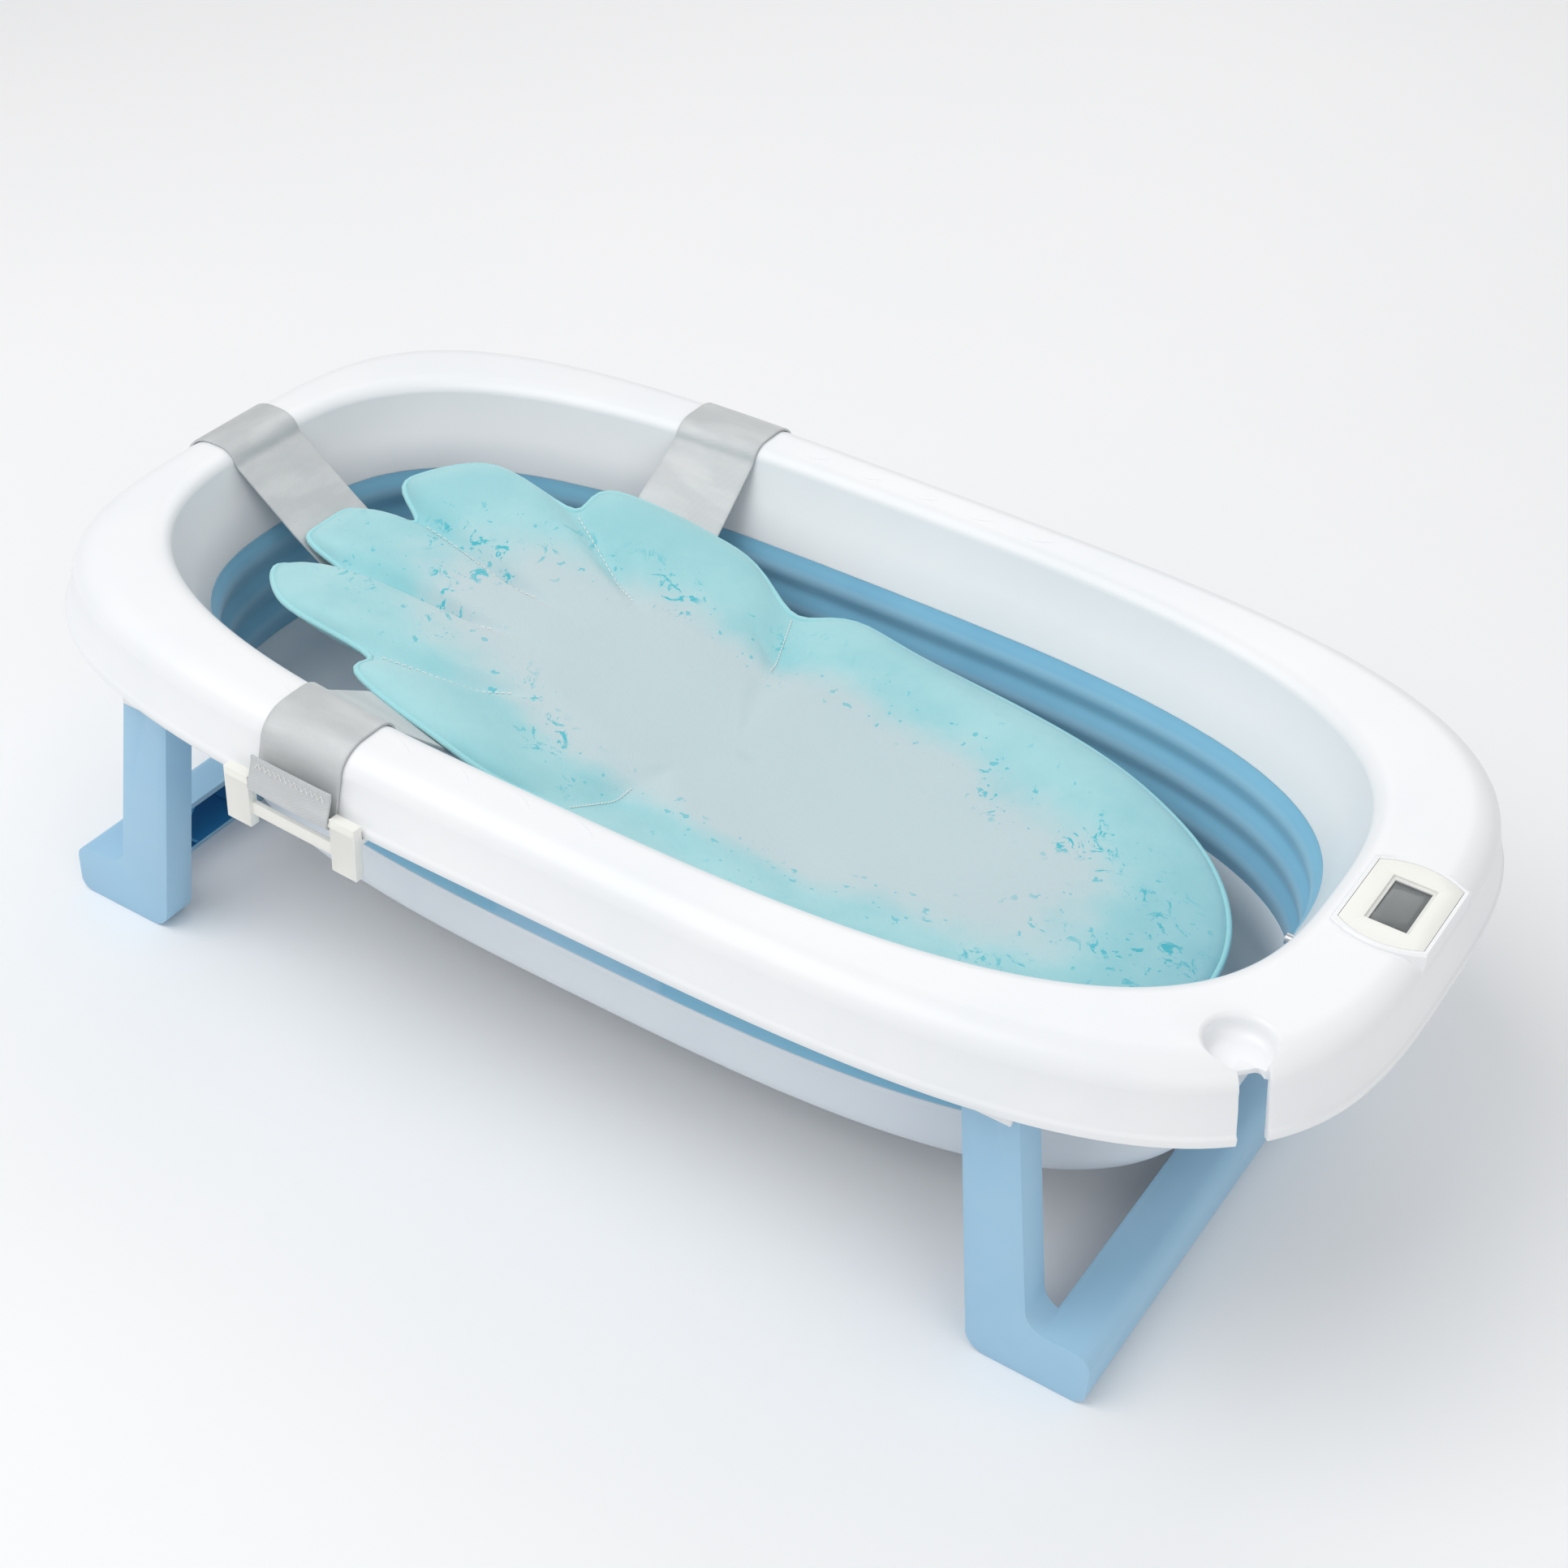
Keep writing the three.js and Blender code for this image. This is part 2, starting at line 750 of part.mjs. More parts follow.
const housingMargin = -thermometer.ledge - gap;
const housingBottomZ = ledgeZ - thermometer.housingDepth;
const housingFloorZ = housingBottomZ + thermometer.housingWall;
const displayTopZ = plateZ - gap;
const boardTopZ = displayTopZ - thermometer.displayThickness - gap;
const boardZ = boardTopZ - thermometer.boardThickness;
const coverTopZ = housingFloorZ + gap;
const cellZ = coverTopZ + gap;
const cellTopZ = cellZ + thermometer.cellThickness;

const centredBox = (length, width, zs) =>
  box([-length / 2, length / 2], [-width / 2, width / 2], zs).translate(thermometerX, 0, 0);

const displayBox = (margin, zs) =>
  centredBox(thermometer.displayLength + 2 * margin, thermometer.displayWidth + 2 * margin, zs);

const screwPlaces = [-1, 1].flatMap((i) =>
  [-1, 1].map((j) => [
    thermometerX + i * (thermometer.plateLength / 2 - thermometer.screwInset),
    j * (thermometer.plateWidth / 2 - thermometer.screwInset),
  ]),
);

const atScrews = (build) => screwPlaces.map(([x, y]) => build(x, y));

function faceplate() {
  const lensZ = plateTopZ - thermometer.lensThickness - gap;
  const window = displayBox(0, [plateZ - 1, plateTopZ]);
  const lensSeat = displayBox(thermometer.lensMargin + gap, [lensZ, plateTopZ + 1]);
  const screwHoles = atScrews((x, y) =>
    disc(thermometer.screwRadius + gap, [plateZ - 1, plateZ + thermometer.screwBite + gap], x, y, 12));
  return cut(plateSlab(0, [plateZ, plateTopZ]), window, lensSeat, ...screwHoles);
}

function housing() {
  const outer = plateSlab(housingMargin, [housingBottomZ, ledgeZ]);
  const inner = plateSlab(housingMargin - thermometer.housingWall, [housingFloorZ, ledgeZ + 1]);
  const posts = atScrews((x, y) =>
    disc(thermometer.screwRadius + gap + thermometer.housingWall, [housingBottomZ, ledgeZ], x, y, 16));
  const ribY = thermometer.boardWidth / 2 - thermometer.supportRib;
  const ribs = [-1, 1].map((side) =>
    centredBox(thermometer.boardLength, thermometer.supportRib, [housingFloorZ - 1, boardZ - gap])
      .translate(0, side * ribY, 0));
  const screwHoles = atScrews((x, y) =>
    disc(thermometer.screwRadius + gap, [housingBottomZ - 1, ledgeZ + 1], x, y, 12));
  const coverHole = disc(thermometer.coverRadius + gap, [housingBottomZ - 1, housingFloorZ + 1], thermometerX);
  return cut(join(cut(outer, inner), ...posts, ...ribs), ...screwHoles, coverHole);
}

function plateSeal() {
  const zs = [ledgeZ + gap, ledgeZ + gap + thermometer.sealThickness];
  const hole = plateSlab(-thermometer.sealWidth - gap, [zs[0] - 1, zs[1] + 1]);
  return cut(plateSlab(-gap, zs), hole);
}

function batteryCover() {
  const headZ = housingBottomZ - gap;
  const stem = disc(thermometer.coverRadius, [headZ - 1, coverTopZ], thermometerX);
  const zs = [headZ - thermometer.coverHeadThickness, headZ];
  return join(stem, disc(thermometer.coverHeadRadius, zs, thermometerX));
}

function housingScrew(x, y) {
  const headTop = housingBottomZ - gap;
  const zs = [headTop - thermometer.screwHeadHeight, headTop];
  const shank = disc(thermometer.screwRadius, [zs[0], plateZ + thermometer.screwBite], x, y, 12);
  return join(shank, disc(thermometer.screwHeadRadius, zs, x, y, 16));
}

function temperatureProbe() {
  const tipX = probeWallX - probe.tip;
  const bodyEndX = tipX + probe.length;
  const riseX = thermometerX - thermometer.plateLength / 2 + thermometer.screwInset;
  const top = housingBottomZ - gap;
  const route = new THREE.CatmullRomCurve3([
    new THREE.Vector3(bodyEndX - 2, probe.y, probeZ),
    new THREE.Vector3(bodyEndX + 4, probe.y, probeZ),
    new THREE.Vector3(riseX - 3, probe.y, (probeZ * 2 + top) / 3),
    new THREE.Vector3(riseX, probe.y, top - 6),
    new THREE.Vector3(riseX, probe.y, top),
  ]);
  const round = new THREE.Shape().absarc(0, 0, probe.leadRadius, 0, turn);
  const lead = new THREE.ExtrudeGeometry(round, { steps: 14, curveSegments: 5, extrudePath: route });
  return join(alongX(probe.radius, [tipX, bodyEndX], probe.y, probeZ), lead);
}

add('thermometer_faceplate', faceplate(), ivory);
add('thermometer_housing', housing(), white);
add('thermometer_seal', plateSeal(), sealGrey);
add(
  'display_lens',
  displayBox(thermometer.lensMargin, [plateTopZ - thermometer.lensThickness, plateTopZ]),
  paint(0xdfe6e8, 0.1),
);
add(
  'liquid_crystal_display',
  displayBox(0, [displayTopZ - thermometer.displayThickness, displayTopZ]),
  displayGrey,
);
add(
  'circuit_board',
  centredBox(thermometer.boardLength, thermometer.boardWidth, [boardZ, boardTopZ]),
  boardGreen,
);
add(
  'battery_contact',
  centredBox(thermometer.contactLength, thermometer.contactWidth, [cellTopZ + gap, boardZ - gap]),
  steel,
);
add('coin_cell', disc(thermometer.cellRadius, [cellZ, cellTopZ], thermometerX), steel);
add('battery_cover', batteryCover(), white);
screwPlaces.forEach(([x, y], i) => add(`housing_screw_${i + 1}`, housingScrew(x, y), steel));
add('temperature_probe', temperatureProbe(), steel);

// ---- Cushion -------------------------------------------------------------------------------

// Height of the cushion's middle surface.
function cushionHeight(x, y) {
  const along = (x - cushion.centreX) / (cushion.length / 2);
  const across = y / (cushion.width / 2);
  const rise = THREE.MathUtils.smoothstep(-along, -0.35, 1);
  return rim.topZ - cushion.footDrop + cushion.headRise * rise + cushion.sideRise * across * across;
}

function bathCushion() {
  const rings = 4;
  const around = 40;
  const edgeShare = 0.12;
  const face = (side) => {
    const rows = [];
    for (let r = 1; r <= rings; r += 1) {
      const share = r / rings;
      const depth = (cushion.thickness / 2) * (edgeShare + (1 - edgeShare) * (1 - share ** 4) ** 0.5);
      rows.push(
        Array.from({ length: around }, (_, i) => {
          const plan = cushionEdge((i / around) * turn, 0);
          const x = cushion.centreX + (plan.x - cushion.centreX) * share;
          const y = plan.y * share;
          return new THREE.Vector3(x, y, cushionHeight(x, y) + side * depth);
        }),
      );
    }
    return rows;
  };
  const rows = [...face(-1), ...face(1).reverse()];
  const points = rows.flat();
  const triangles = skinRows(rows, false);
  const middleZ = cushionHeight(cushion.centreX, 0);
  for (const [side, start] of [[-1, 0], [1, points.length - around]]) {
    points.push(new THREE.Vector3(cushion.centreX, 0, middleZ + (side * cushion.thickness) / 2));
    for (let i = 0; i < around; i += 1) {
      const pair = [start + i, start + ((i + 1) % around)];
      triangles.push(points.length - 1, ...(side < 0 ? pair : pair.reverse()));
    }
  }
  return solidFrom(points, triangles);
}

add('bath_cushion', bathCushion(), cushionTeal);

// ---- Straps and clips ----------------------------------------------------------------------

// Each strap crosses the rim in planes of constant x or y, between two plan angles.
const straps = [
  { name: 'near', axis: 'x', middle: strap.sideX, angles: [-Math.PI, 0] },
  { name: 'far', axis: 'x', middle: strap.sideX, angles: [0, Math.PI] },
  { name: 'head', axis: 'y', middle: strap.headY, angles: [Math.PI / 2, (3 * Math.PI) / 2] },
];

// The strap's middle line as distances in from the skirt and heights, in one of its planes.
function strapLine(route, value) {
  const at = (point) => place(crossingAngle(point, route.axis, value, ...route.angles), point);
  const start = at(onRim(0, skirtZ));
  const inward = new THREE.Vector3(-start.x, -start.y, 0);
  inward[route.axis] = 0;
  inward.normalize();
  const flat = (p) => new THREE.Vector2(new THREE.Vector3().subVectors(p, start).dot(inward), p.z);
  const skin = rimSkin.slice(1, -1).map((point) => flat(at(point)));
  const off = strap.seat + strap.thickness / 2;
  const clear = skin.map((p, i) => {
    const before = skin[Math.max(i - 1, 0)];
    const after = skin[Math.min(i + 1, skin.length - 1)];
    const along = new THREE.Vector2().subVectors(after, before).normalize();
    return new THREE.Vector2(p.x - along.y * off, p.y + along.x * off);
  });
  const wrap = clip.barRadius + clip.barGap + strap.thickness / 2;
  const loop = Array.from({ length: 9 }, (_, i) => {
    const angle = (i / 8) * Math.PI;
    return new THREE.Vector2(-barY - Math.cos(angle) * wrap, skirtZ + clip.barHeight - Math.sin(angle) * wrap);
  });
  const tail = [
    new THREE.Vector2(-off - strap.thickness - gap * 2, skirtZ + clip.barHeight + strap.loopHeight + 4),
    new THREE.Vector2(-off - strap.thickness - gap * 2, skirtZ + clip.barHeight + strap.loopHeight),
  ];
  const cushionPlan = at({ edge: cushionEdge, inset: -gap - strap.thickness / 2, z: 0 });
  cushionPlan.z = cushionHeight(cushionPlan.x, cushionPlan.y);
  const line = [...tail, ...loop, ...clear, flat(cushionPlan)];
  return { line, back: (p) => start.clone().addScaledVector(inward, p.x).setZ(p.y) };
}

// Thickens a line of points into a closed outline.
function thicken(line, thickness) {
  const side = (sign) =>
    line.map((p, i) => {
      const before = line[Math.max(i - 1, 0)];
      const after = line[Math.min(i + 1, line.length - 1)];
      const along = new THREE.Vector2().subVectors(after, before).normalize();
      const reach = (sign * thickness) / 2;
      return new THREE.Vector2(p.x - along.y * reach, p.y + along.x * reach);
    });
  return [...side(1), ...side(-1).reverse()];
}

function strapBand(route) {
  const rows = Array.from({ length: strap.stations }, (_, i) => {
    const value = route.middle + (i / (strap.stations - 1) - 0.5) * strap.width;
    const { line, back } = strapLine(route, value);
    return thicken(line, strap.thickness).map(back);
  });
  return sweep(rows);
}

// Built with the skirt's outer face at y = 0, +Y outward and its lower edge at z = 0.
function strapClip() {
  const inner = clip.skirtClearance;
  const hookInner = -rim.wall - rim.beadDepth - clip.hookClearance;
  const blocks = [-1, 1].map((side) => {
    const profile = new THREE.Shape([
      new THREE.Vector2(inner, clip.blockAbove),
      new THREE.Vector2(inner + clip.blockThickness, clip.blockAbove),
      new THREE.Vector2(inner + clip.blockThickness, -clip.blockBelow),
      new THREE.Vector2(inner, -clip.blockBelow),
      new THREE.Vector2(inner, -clip.hookThickness - gap),
      new THREE.Vector2(hookInner - clip.hookThickness, -clip.hookThickness - gap),
      new THREE.Vector2(hookInner - clip.hookThickness, clip.hookRise),
      new THREE.Vector2(hookInner, clip.hookRise),
      new THREE.Vector2(hookInner, -gap),
      new THREE.Vector2(inner, -gap),
    ]);
    const block = new THREE.ExtrudeGeometry(profile, { depth: clip.blockWidth, bevelEnabled: false });
    block.rotateX(Math.PI / 2).rotateZ(Math.PI / 2);
    const start = side < 0 ? -clipHalfWidth : clipHalfWidth - clip.blockWidth;
    return block.translate(start, 0, 0);
  });
  const span = [-clipHalfWidth + 1, clipHalfWidth - 1];
  const tieY = [inner + 1, inner + 1 + clip.tieThickness];
  const tie = box(span, tieY, [clip.tieTop - clip.tieHeight, clip.tieTop]);
  const bar = alongX(clip.barRadius, span, barY, clip.barHeight);
  return join(...blocks, tie, bar);
}

for (const route of straps) {
  add(`${route.name}_strap`, strapBand(route), strapGrey);
  const edge = onRim(0, skirtZ);
  const angle = crossingAngle(edge, route.axis, route.middle, ...route.angles);
  const mesh = add(`${route.name}_strap_clip`, strapClip(), ivory);
  mesh.position.copy(place(angle, edge));
  mesh.rotation.z = rimHeading(angle) - Math.PI / 2;
}

group.position.x = clipReach / 2;

export default group;
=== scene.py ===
import math

import bmesh
import bpy
from mathutils import Matrix, Vector, noise
from mathutils.bvhtree import BVHTree


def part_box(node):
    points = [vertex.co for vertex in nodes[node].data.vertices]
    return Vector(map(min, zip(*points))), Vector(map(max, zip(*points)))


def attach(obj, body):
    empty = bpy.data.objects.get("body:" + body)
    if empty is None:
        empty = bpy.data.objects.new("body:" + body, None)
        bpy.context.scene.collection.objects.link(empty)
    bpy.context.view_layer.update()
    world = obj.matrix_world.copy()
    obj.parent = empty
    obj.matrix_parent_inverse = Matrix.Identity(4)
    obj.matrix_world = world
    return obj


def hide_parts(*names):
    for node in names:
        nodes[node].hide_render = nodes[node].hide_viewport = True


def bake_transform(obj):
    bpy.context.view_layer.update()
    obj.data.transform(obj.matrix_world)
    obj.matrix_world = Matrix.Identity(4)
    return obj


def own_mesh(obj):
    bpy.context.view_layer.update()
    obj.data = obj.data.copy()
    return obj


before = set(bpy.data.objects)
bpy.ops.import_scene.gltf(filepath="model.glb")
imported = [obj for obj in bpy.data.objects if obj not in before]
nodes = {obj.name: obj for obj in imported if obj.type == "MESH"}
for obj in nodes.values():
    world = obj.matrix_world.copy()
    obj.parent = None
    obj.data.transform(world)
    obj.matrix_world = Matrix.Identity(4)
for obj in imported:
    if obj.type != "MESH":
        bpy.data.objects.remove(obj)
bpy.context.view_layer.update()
mm = 0.001
turn = 2 * math.pi
print("frame loaded,", len(nodes), "CAD nodes")

# camera, at a sitting parent's height beside the foot end
view = {"place": (0.612, -1.0018, 1.0312), "yaw": -30.42, "pitch": 37.76, "roll": 3.72, "lens": 59.0}


def addCamera():
    yaw, pitch, roll = (math.radians(view[key]) for key in ("yaw", "pitch", "roll"))
    ahead = Vector((math.sin(yaw) * math.cos(pitch), math.cos(yaw) * math.cos(pitch), -math.sin(pitch)))
    right = Vector((math.cos(yaw), -math.sin(yaw), 0))
    up = right.cross(ahead)
    tilted = right * math.cos(roll) + up * math.sin(roll)
    upright = up * math.cos(roll) - right * math.sin(roll)
    bpy.ops.object.camera_add()
    camera = bpy.context.object
    turned = Matrix((tilted, upright, -ahead)).transposed().to_4x4()
    camera.matrix_world = Matrix.Translation(view["place"]) @ turned
    camera.data.lens = view["lens"]
    camera.data.sensor_width = 36
    camera.data.clip_end = 50
    bpy.context.scene.camera = camera


addCamera()
print("camera placed")


# shader maths

def shade(code):  # a screen colour as linear light
    levels = [int(code[i:i + 2], 16) / 255 for i in (1, 3, 5)]
    return [c / 12.92 if c <= 0.04045 else ((c + 0.055) / 1.055) ** 2.4 for c in levels] + [1]


class Wire:
    def __init__(self, finish, socket):
        self.finish = finish
        self.socket = socket

    def math(self, operation, other=None, flipped=False):
        values = [other, self] if flipped else [self, other]
        inputs = {i: v for i, v in enumerate(values) if v is not None}
        return self.finish.node("ShaderNodeMath", {"operation": operation}, inputs)

    def __add__(self, other):
        return self.math("ADD", other)

    def __radd__(self, other):
        return self.math("ADD", other, True)

    def __sub__(self, other):
        return self.math("SUBTRACT", other)

    def __rsub__(self, other):
        return self.math("SUBTRACT", other, True)

    def __mul__(self, other):
        return self.math("MULTIPLY", other)

    def __rmul__(self, other):
        return self.math("MULTIPLY", other, True)

    def __truediv__(self, other):
        return self.math("DIVIDE", other)

    def __pow__(self, other):
        return self.math("POWER", other)

    def sine(self):
        return self.math("SINE")

    def size(self):
        return self.math("ABSOLUTE")

    def most(self, other):
        return self.math("MAXIMUM", other)

    def ramp(self, low, high):  # 0 below low, 1 above high, smooth between
        settings = {"interpolation_type": "SMOOTHSTEP"}
        inputs = {"Value": self, "From Min": low, "From Max": high}
        return self.finish.node("ShaderNodeMapRange", settings, inputs)


class Finish:
    def __init__(self, name, **constants):
        self.material = bpy.data.materials.new(name)
        self.material.use_nodes = True
        self.tree = self.material.node_tree
        self.shader = self.tree.nodes["Principled BSDF"]
        for socket, value in constants.items():
            self.shader.inputs[socket.replace("_", " ")].default_value = value

    def node(self, kind, settings, inputs, output=0):
        made = self.tree.nodes.new(kind)
        for key, value in settings.items():
            setattr(made, key, value)
        for key, value in inputs.items():
            if isinstance(value, Wire):
                self.tree.links.new(value.socket, made.inputs[key])
            else:
                made.inputs[key].default_value = value
        return Wire(self, made.outputs[output])

    def feed(self, socket, wire):
        self.tree.links.new(wire.socket, self.shader.inputs[socket])

    def place(self):
        return self.node("ShaderNodeTexCoord", {}, {}, "Object")

    def scaled(self, vector, sizes):
        return self.node("ShaderNodeVectorMath", {"operation": "MULTIPLY"}, {0: vector, 1: sizes})

    def parts(self, vector):
        split = self.node("ShaderNodeSeparateXYZ", {}, {0: vector})
        return [Wire(self, socket) for socket in split.socket.node.outputs]

    def grain(self, vector, scale, detail=3, rough=0.55, distortion=0):
        inputs = {"Vector": vector, "Scale": scale, "Detail": detail}
        inputs |= {"Roughness": rough, "Distortion": distortion}
        return self.node("ShaderNodeTexNoise", {}, inputs)

    def attribute(self, name):
        return self.node("ShaderNodeAttribute", {"attribute_name": name}, {}, "Fac")

    def mix(self, factor, first, second):
        settings = {"data_type": "RGBA"}
        return self.node("ShaderNodeMix", settings, {0: factor, 6: first, 7: second}, 2)

    def tint(self, factor, first, second):
        self.feed("Base Color", self.mix(factor, shade(first), shade(second)))

    def bump(self, height, strength, distance):
        inputs = {"Height": height, "Strength": strength, "Distance": distance}
        self.feed("Normal", self.node("ShaderNodeBump", {}, inputs))


# moulded plastic: a fine spark-eroded skin, faint flow clouds and light handling marks
def mouldedPlastic(name, colour, shadeColour, roughness, grainSize=0.45, coat=0.0, depth=0.012):
    finish = Finish(name, Coat_Weight=coat, Coat_Roughness=0.18, IOR=1.49)
    place = finish.place()
    clouds = finish.grain(place, 6, 4, 0.6)
    skin = finish.grain(place, 1 / (grainSize * mm), 2, 0.5)
    rubbed = finish.grain(finish.scaled(place, (9, 26, 14)), 3, 6, 0.7)
    finish.tint(clouds.ramp(0.3, 0.75), colour, shadeColour)
    worn = rubbed.ramp(0.56, 0.72) * 0.05
    finish.feed("Roughness", roughness + (clouds - 0.5) * 0.10 + (skin - 0.5) * 0.06 + worn)
    finish.bump(skin + rubbed * 0.3, 0.35, depth * mm * 10)
    return finish


# blue plastic of the legs: clear light blue outside, deeper blue down in the hollow of the section, partly
# for the thicker plastic and partly as painted shade
def legPlastic():
    finish = mouldedPlastic("blue polypropylene", "#a8d0e9", "#9ec9e5", 0.42, 0.5)
    outer = Wire(finish, finish.shader.inputs["Base Color"].links[0].from_socket)
    # painted shade, partly real: the marked hollow goes a deeper blue
    hollowShade = finish.attribute("hollowShade").ramp(0.2, 0.8)
    finish.feed("Base Color", finish.mix(hollowShade, outer, shade("#3a93cc")))
    return finish.material


# elastomer: matt, paler along the rings where the folds turn, with painted shade as a deeper blue over the
# whole inner face, which is also a little glossier
def elastomer():
    finish = Finish("blue elastomer", Sheen_Weight=0.25, Sheen_Roughness=0.5, IOR=1.45)
    place = finish.place()
    clouds = finish.grain(place, 9, 4, 0.6)
    skin = finish.grain(place, 1 / (0.35 * mm), 2, 0.5)
    flow = finish.grain(finish.scaled(place, (8, 8, 160)), 2, 4, 0.6)
    outsideBlue = finish.mix(clouds.ramp(0.3, 0.75), shade("#9ccbe6"), shade("#8fc1df"))
    # painted shade: the deeper blue of the inner face
    shadedInsideBlue = finish.mix(clouds.ramp(0.3, 0.75), shade("#8ac5e1"), shade("#7ebbdb"))
    inside = finish.attribute("inside").ramp(0.2, 0.8)
    # paler colour along the rings where the folds turn
    crest = finish.attribute("crest")
    base = finish.mix(inside, outsideBlue, shadedInsideBlue)
    finish.feed("Base Color", finish.mix(crest.ramp(0.6, 1.0) * 0.22, base, shade("#cfe6f3")))
    finish.feed("Roughness", 0.56 + (clouds - 0.5) * 0.14 + (skin - 0.5) * 0.08 - inside * 0.12)
    finish.bump(skin * 0.5 + flow, 0.3, 0.1 * mm)
    return finish.material


def softSeal():
    finish = Finish("grey silicone", IOR=1.42)
    place = finish.place()
    clouds = finish.grain(place, 60, 3)
    finish.tint(clouds, "#a5acb2", "#979ea5")
    finish.feed("Roughness", 0.55 + clouds * 0.15)
    finish.bump(finish.grain(place, 2600, 2), 0.3, 0.05 * mm)
    return finish.material


def stainless():
    finish = Finish("stainless steel", Metallic=1.0)
    place = finish.place()
    drawn = finish.grain(finish.scaled(place, (900, 60, 900)), 1, 4, 0.6)
    finish.tint(drawn, "#c9ccd0", "#a9adb2")
    finish.feed("Roughness", 0.24 + drawn * 0.16)
    finish.bump(drawn, 0.2, 0.02 * mm)
    return finish.material


def circuitBoard():
    finish = Finish("circuit board", IOR=1.5)
    place = finish.place()
    x, y, _ = finish.parts(place)
    copper = ((x * 2600).sine() * (y * 1900).sine()).ramp(0.15, 0.3)
    finish.tint(copper, "#1d6a43", "#2f8657")
    finish.feed("Roughness", 0.45 - copper * 0.12)
    finish.bump(copper, 0.3, 0.03 * mm)
    return finish.material


# liquid crystal panel: grey-green, with a painted highlight that makes it a little lighter towards one
# corner, and a faint cell grid
def displayPanel():
    finish = Finish("display panel", Coat_Weight=0.6, Coat_Roughness=0.05)
    place = finish.place()
    x, y, _ = finish.parts(place)
    grid = ((x * 9000).sine() * (y * 9000).sine()).size()
    # painted highlight: lighter towards one corner
    paintedHighlight = (x * 9 + y * 12 + finish.grain(place, 40, 2) * 0.25 - 3.3).ramp(-0.25, 0.45)
    finish.tint(paintedHighlight, "#1d2325", "#2f3638")
    finish.feed("Roughness", 0.22 + grid * 0.06)
    return finish.material


def clearWindow():
    finish = Finish("clear window", IOR=1.49, Coat_Weight=1.0, Coat_Roughness=0.03)
    smear = finish.grain(finish.place(), 90, 4, 0.6)
    finish.tint(smear, "#e8eef0", "#dde5e8")
    finish.feed("Roughness", 0.05 + smear.ramp(0.5, 0.8) * 0.1)
    finish.feed("Alpha", 0.07 + smear.ramp(0.5, 0.8) * 0.05)
    return finish.material


# satin webbing on its own UV map: u runs across, v along
webbing = {"pick": 0.62, "end": 0.5}


def satinWebbing(width, length):
    finish = Finish("satin webbing", Sheen_Weight=0.4, Sheen_Roughness=0.35, Metallic=0.35, IOR=1.5)
    uv = finish.node("ShaderNodeTexCoord", {}, {}, "UV")
    across, along, _ = finish.parts(finish.scaled(uv, (width / mm, length / mm, 1)))
    warp = (across * (turn / webbing["end"])).sine()
    weft = ((along + across * 0.35) * (turn / webbing["pick"])).sine()
    fibres = finish.grain(finish.scaled(uv, (width * 9000, length * 500, 1)), 1, 4, 0.7)
    ripple = finish.grain(finish.scaled(uv, (width * 20, length * 60, 1)), 1, 3, 0.5)
    edge = (across / (width / mm) - 0.5).size().ramp(0.455, 0.48)
    tone = (warp * 0.25 + weft * 0.35 + fibres * 0.8).ramp(0.1, 1.0)
    satin = finish.mix(tone, shade("#bcc0c2"), shade("#e0e3e4"))
    finish.feed("Base Color", finish.mix(ripple.ramp(0.42, 0.7) * 0.35, satin, shade("#e9ebeb")))
    finish.feed("Roughness", 0.36 + tone * 0.14 + ripple * 0.1 + edge * 0.12)
    finish.bump(warp * 0.35 + weft * 0.5 + fibres * 0.6 + edge * 1.4 + ripple * 0.8, 0.5, 0.12 * mm)
    return finish.material


def sewingThread():
    finish = Finish("white thread", Sheen_Weight=0.4)
    place = finish.place()
    twist = finish.grain(finish.scaled(place, (2400, 2400, 5200)), 1, 3)
    finish.tint(twist, "#f7f7f5", "#dcdedd")
    finish.feed("Roughness", 0.6 + twist * 0.2)
    finish.bump(twist, 0.6, 0.1 * mm)
    return finish.material


# printed knit: teal round the edge, pale grey down the middle, turquoise coral sprigs between
knit = {"offset": 4 * mm, "halfLength": 262 * mm, "halfWidth": 92 * mm, "wale": 0.9 * mm, "course": 1.1 * mm}


def printedKnit():
    finish = Finish("printed knit", Sheen_Weight=0.35, Sheen_Roughness=0.6, IOR=1.4)
    place = finish.place()
    x, y, z = finish.parts(place)
    drift = finish.grain(place, 14, 4, 0.6) - 0.5
    alongPad = (x + knit["offset"]) / knit["halfLength"]
    acrossPad = y / knit["halfWidth"]
    reach = (alongPad * alongPad + acrossPad * acrossPad) ** 0.5 + drift * 0.5
    middle = 1 - reach.ramp(0.72, 1.05)
    twigs = finish.grain(place, 62, 5, 0.72, 1.9)
    sprigs = finish.grain(place, 17, 2, 0.5)
    belt = reach.ramp(0.62, 0.8) * (1 - reach.ramp(1.0, 1.25))
    coral = twigs.ramp(0.565, 0.6) * sprigs.ramp(0.52, 0.58) * belt
    dots = finish.grain(place, 150, 2, 0.5).ramp(0.67, 0.7) * belt
    teal = finish.mix((drift + 0.5).ramp(0.3, 0.7), shade("#a6dbe0"), shade("#93d1d8"))
    ground = finish.mix(middle * 0.9, teal, shade("#c3d3d7"))
    inked = finish.mix(coral.most(dots * 0.7), ground, shade("#2fbccb"))
    knitX = (x * (turn / knit["wale"])).sine()
    knitY = ((y + z * 0.6) * (turn / knit["course"])).sine()
    fuzz = finish.grain(place, 1500, 3, 0.6)
    loops = knitX * knitY
    finish.feed("Base Color", finish.mix(loops.ramp(-0.2, 1.0) * 0.10, inked, shade("#ffffff")))
    finish.feed("Roughness", 0.78 + loops * 0.05 + fuzz * 0.1)
    finish.bump(loops * 0.5 + fuzz * 0.9, 0.55, 0.16 * mm)
    return finish.material


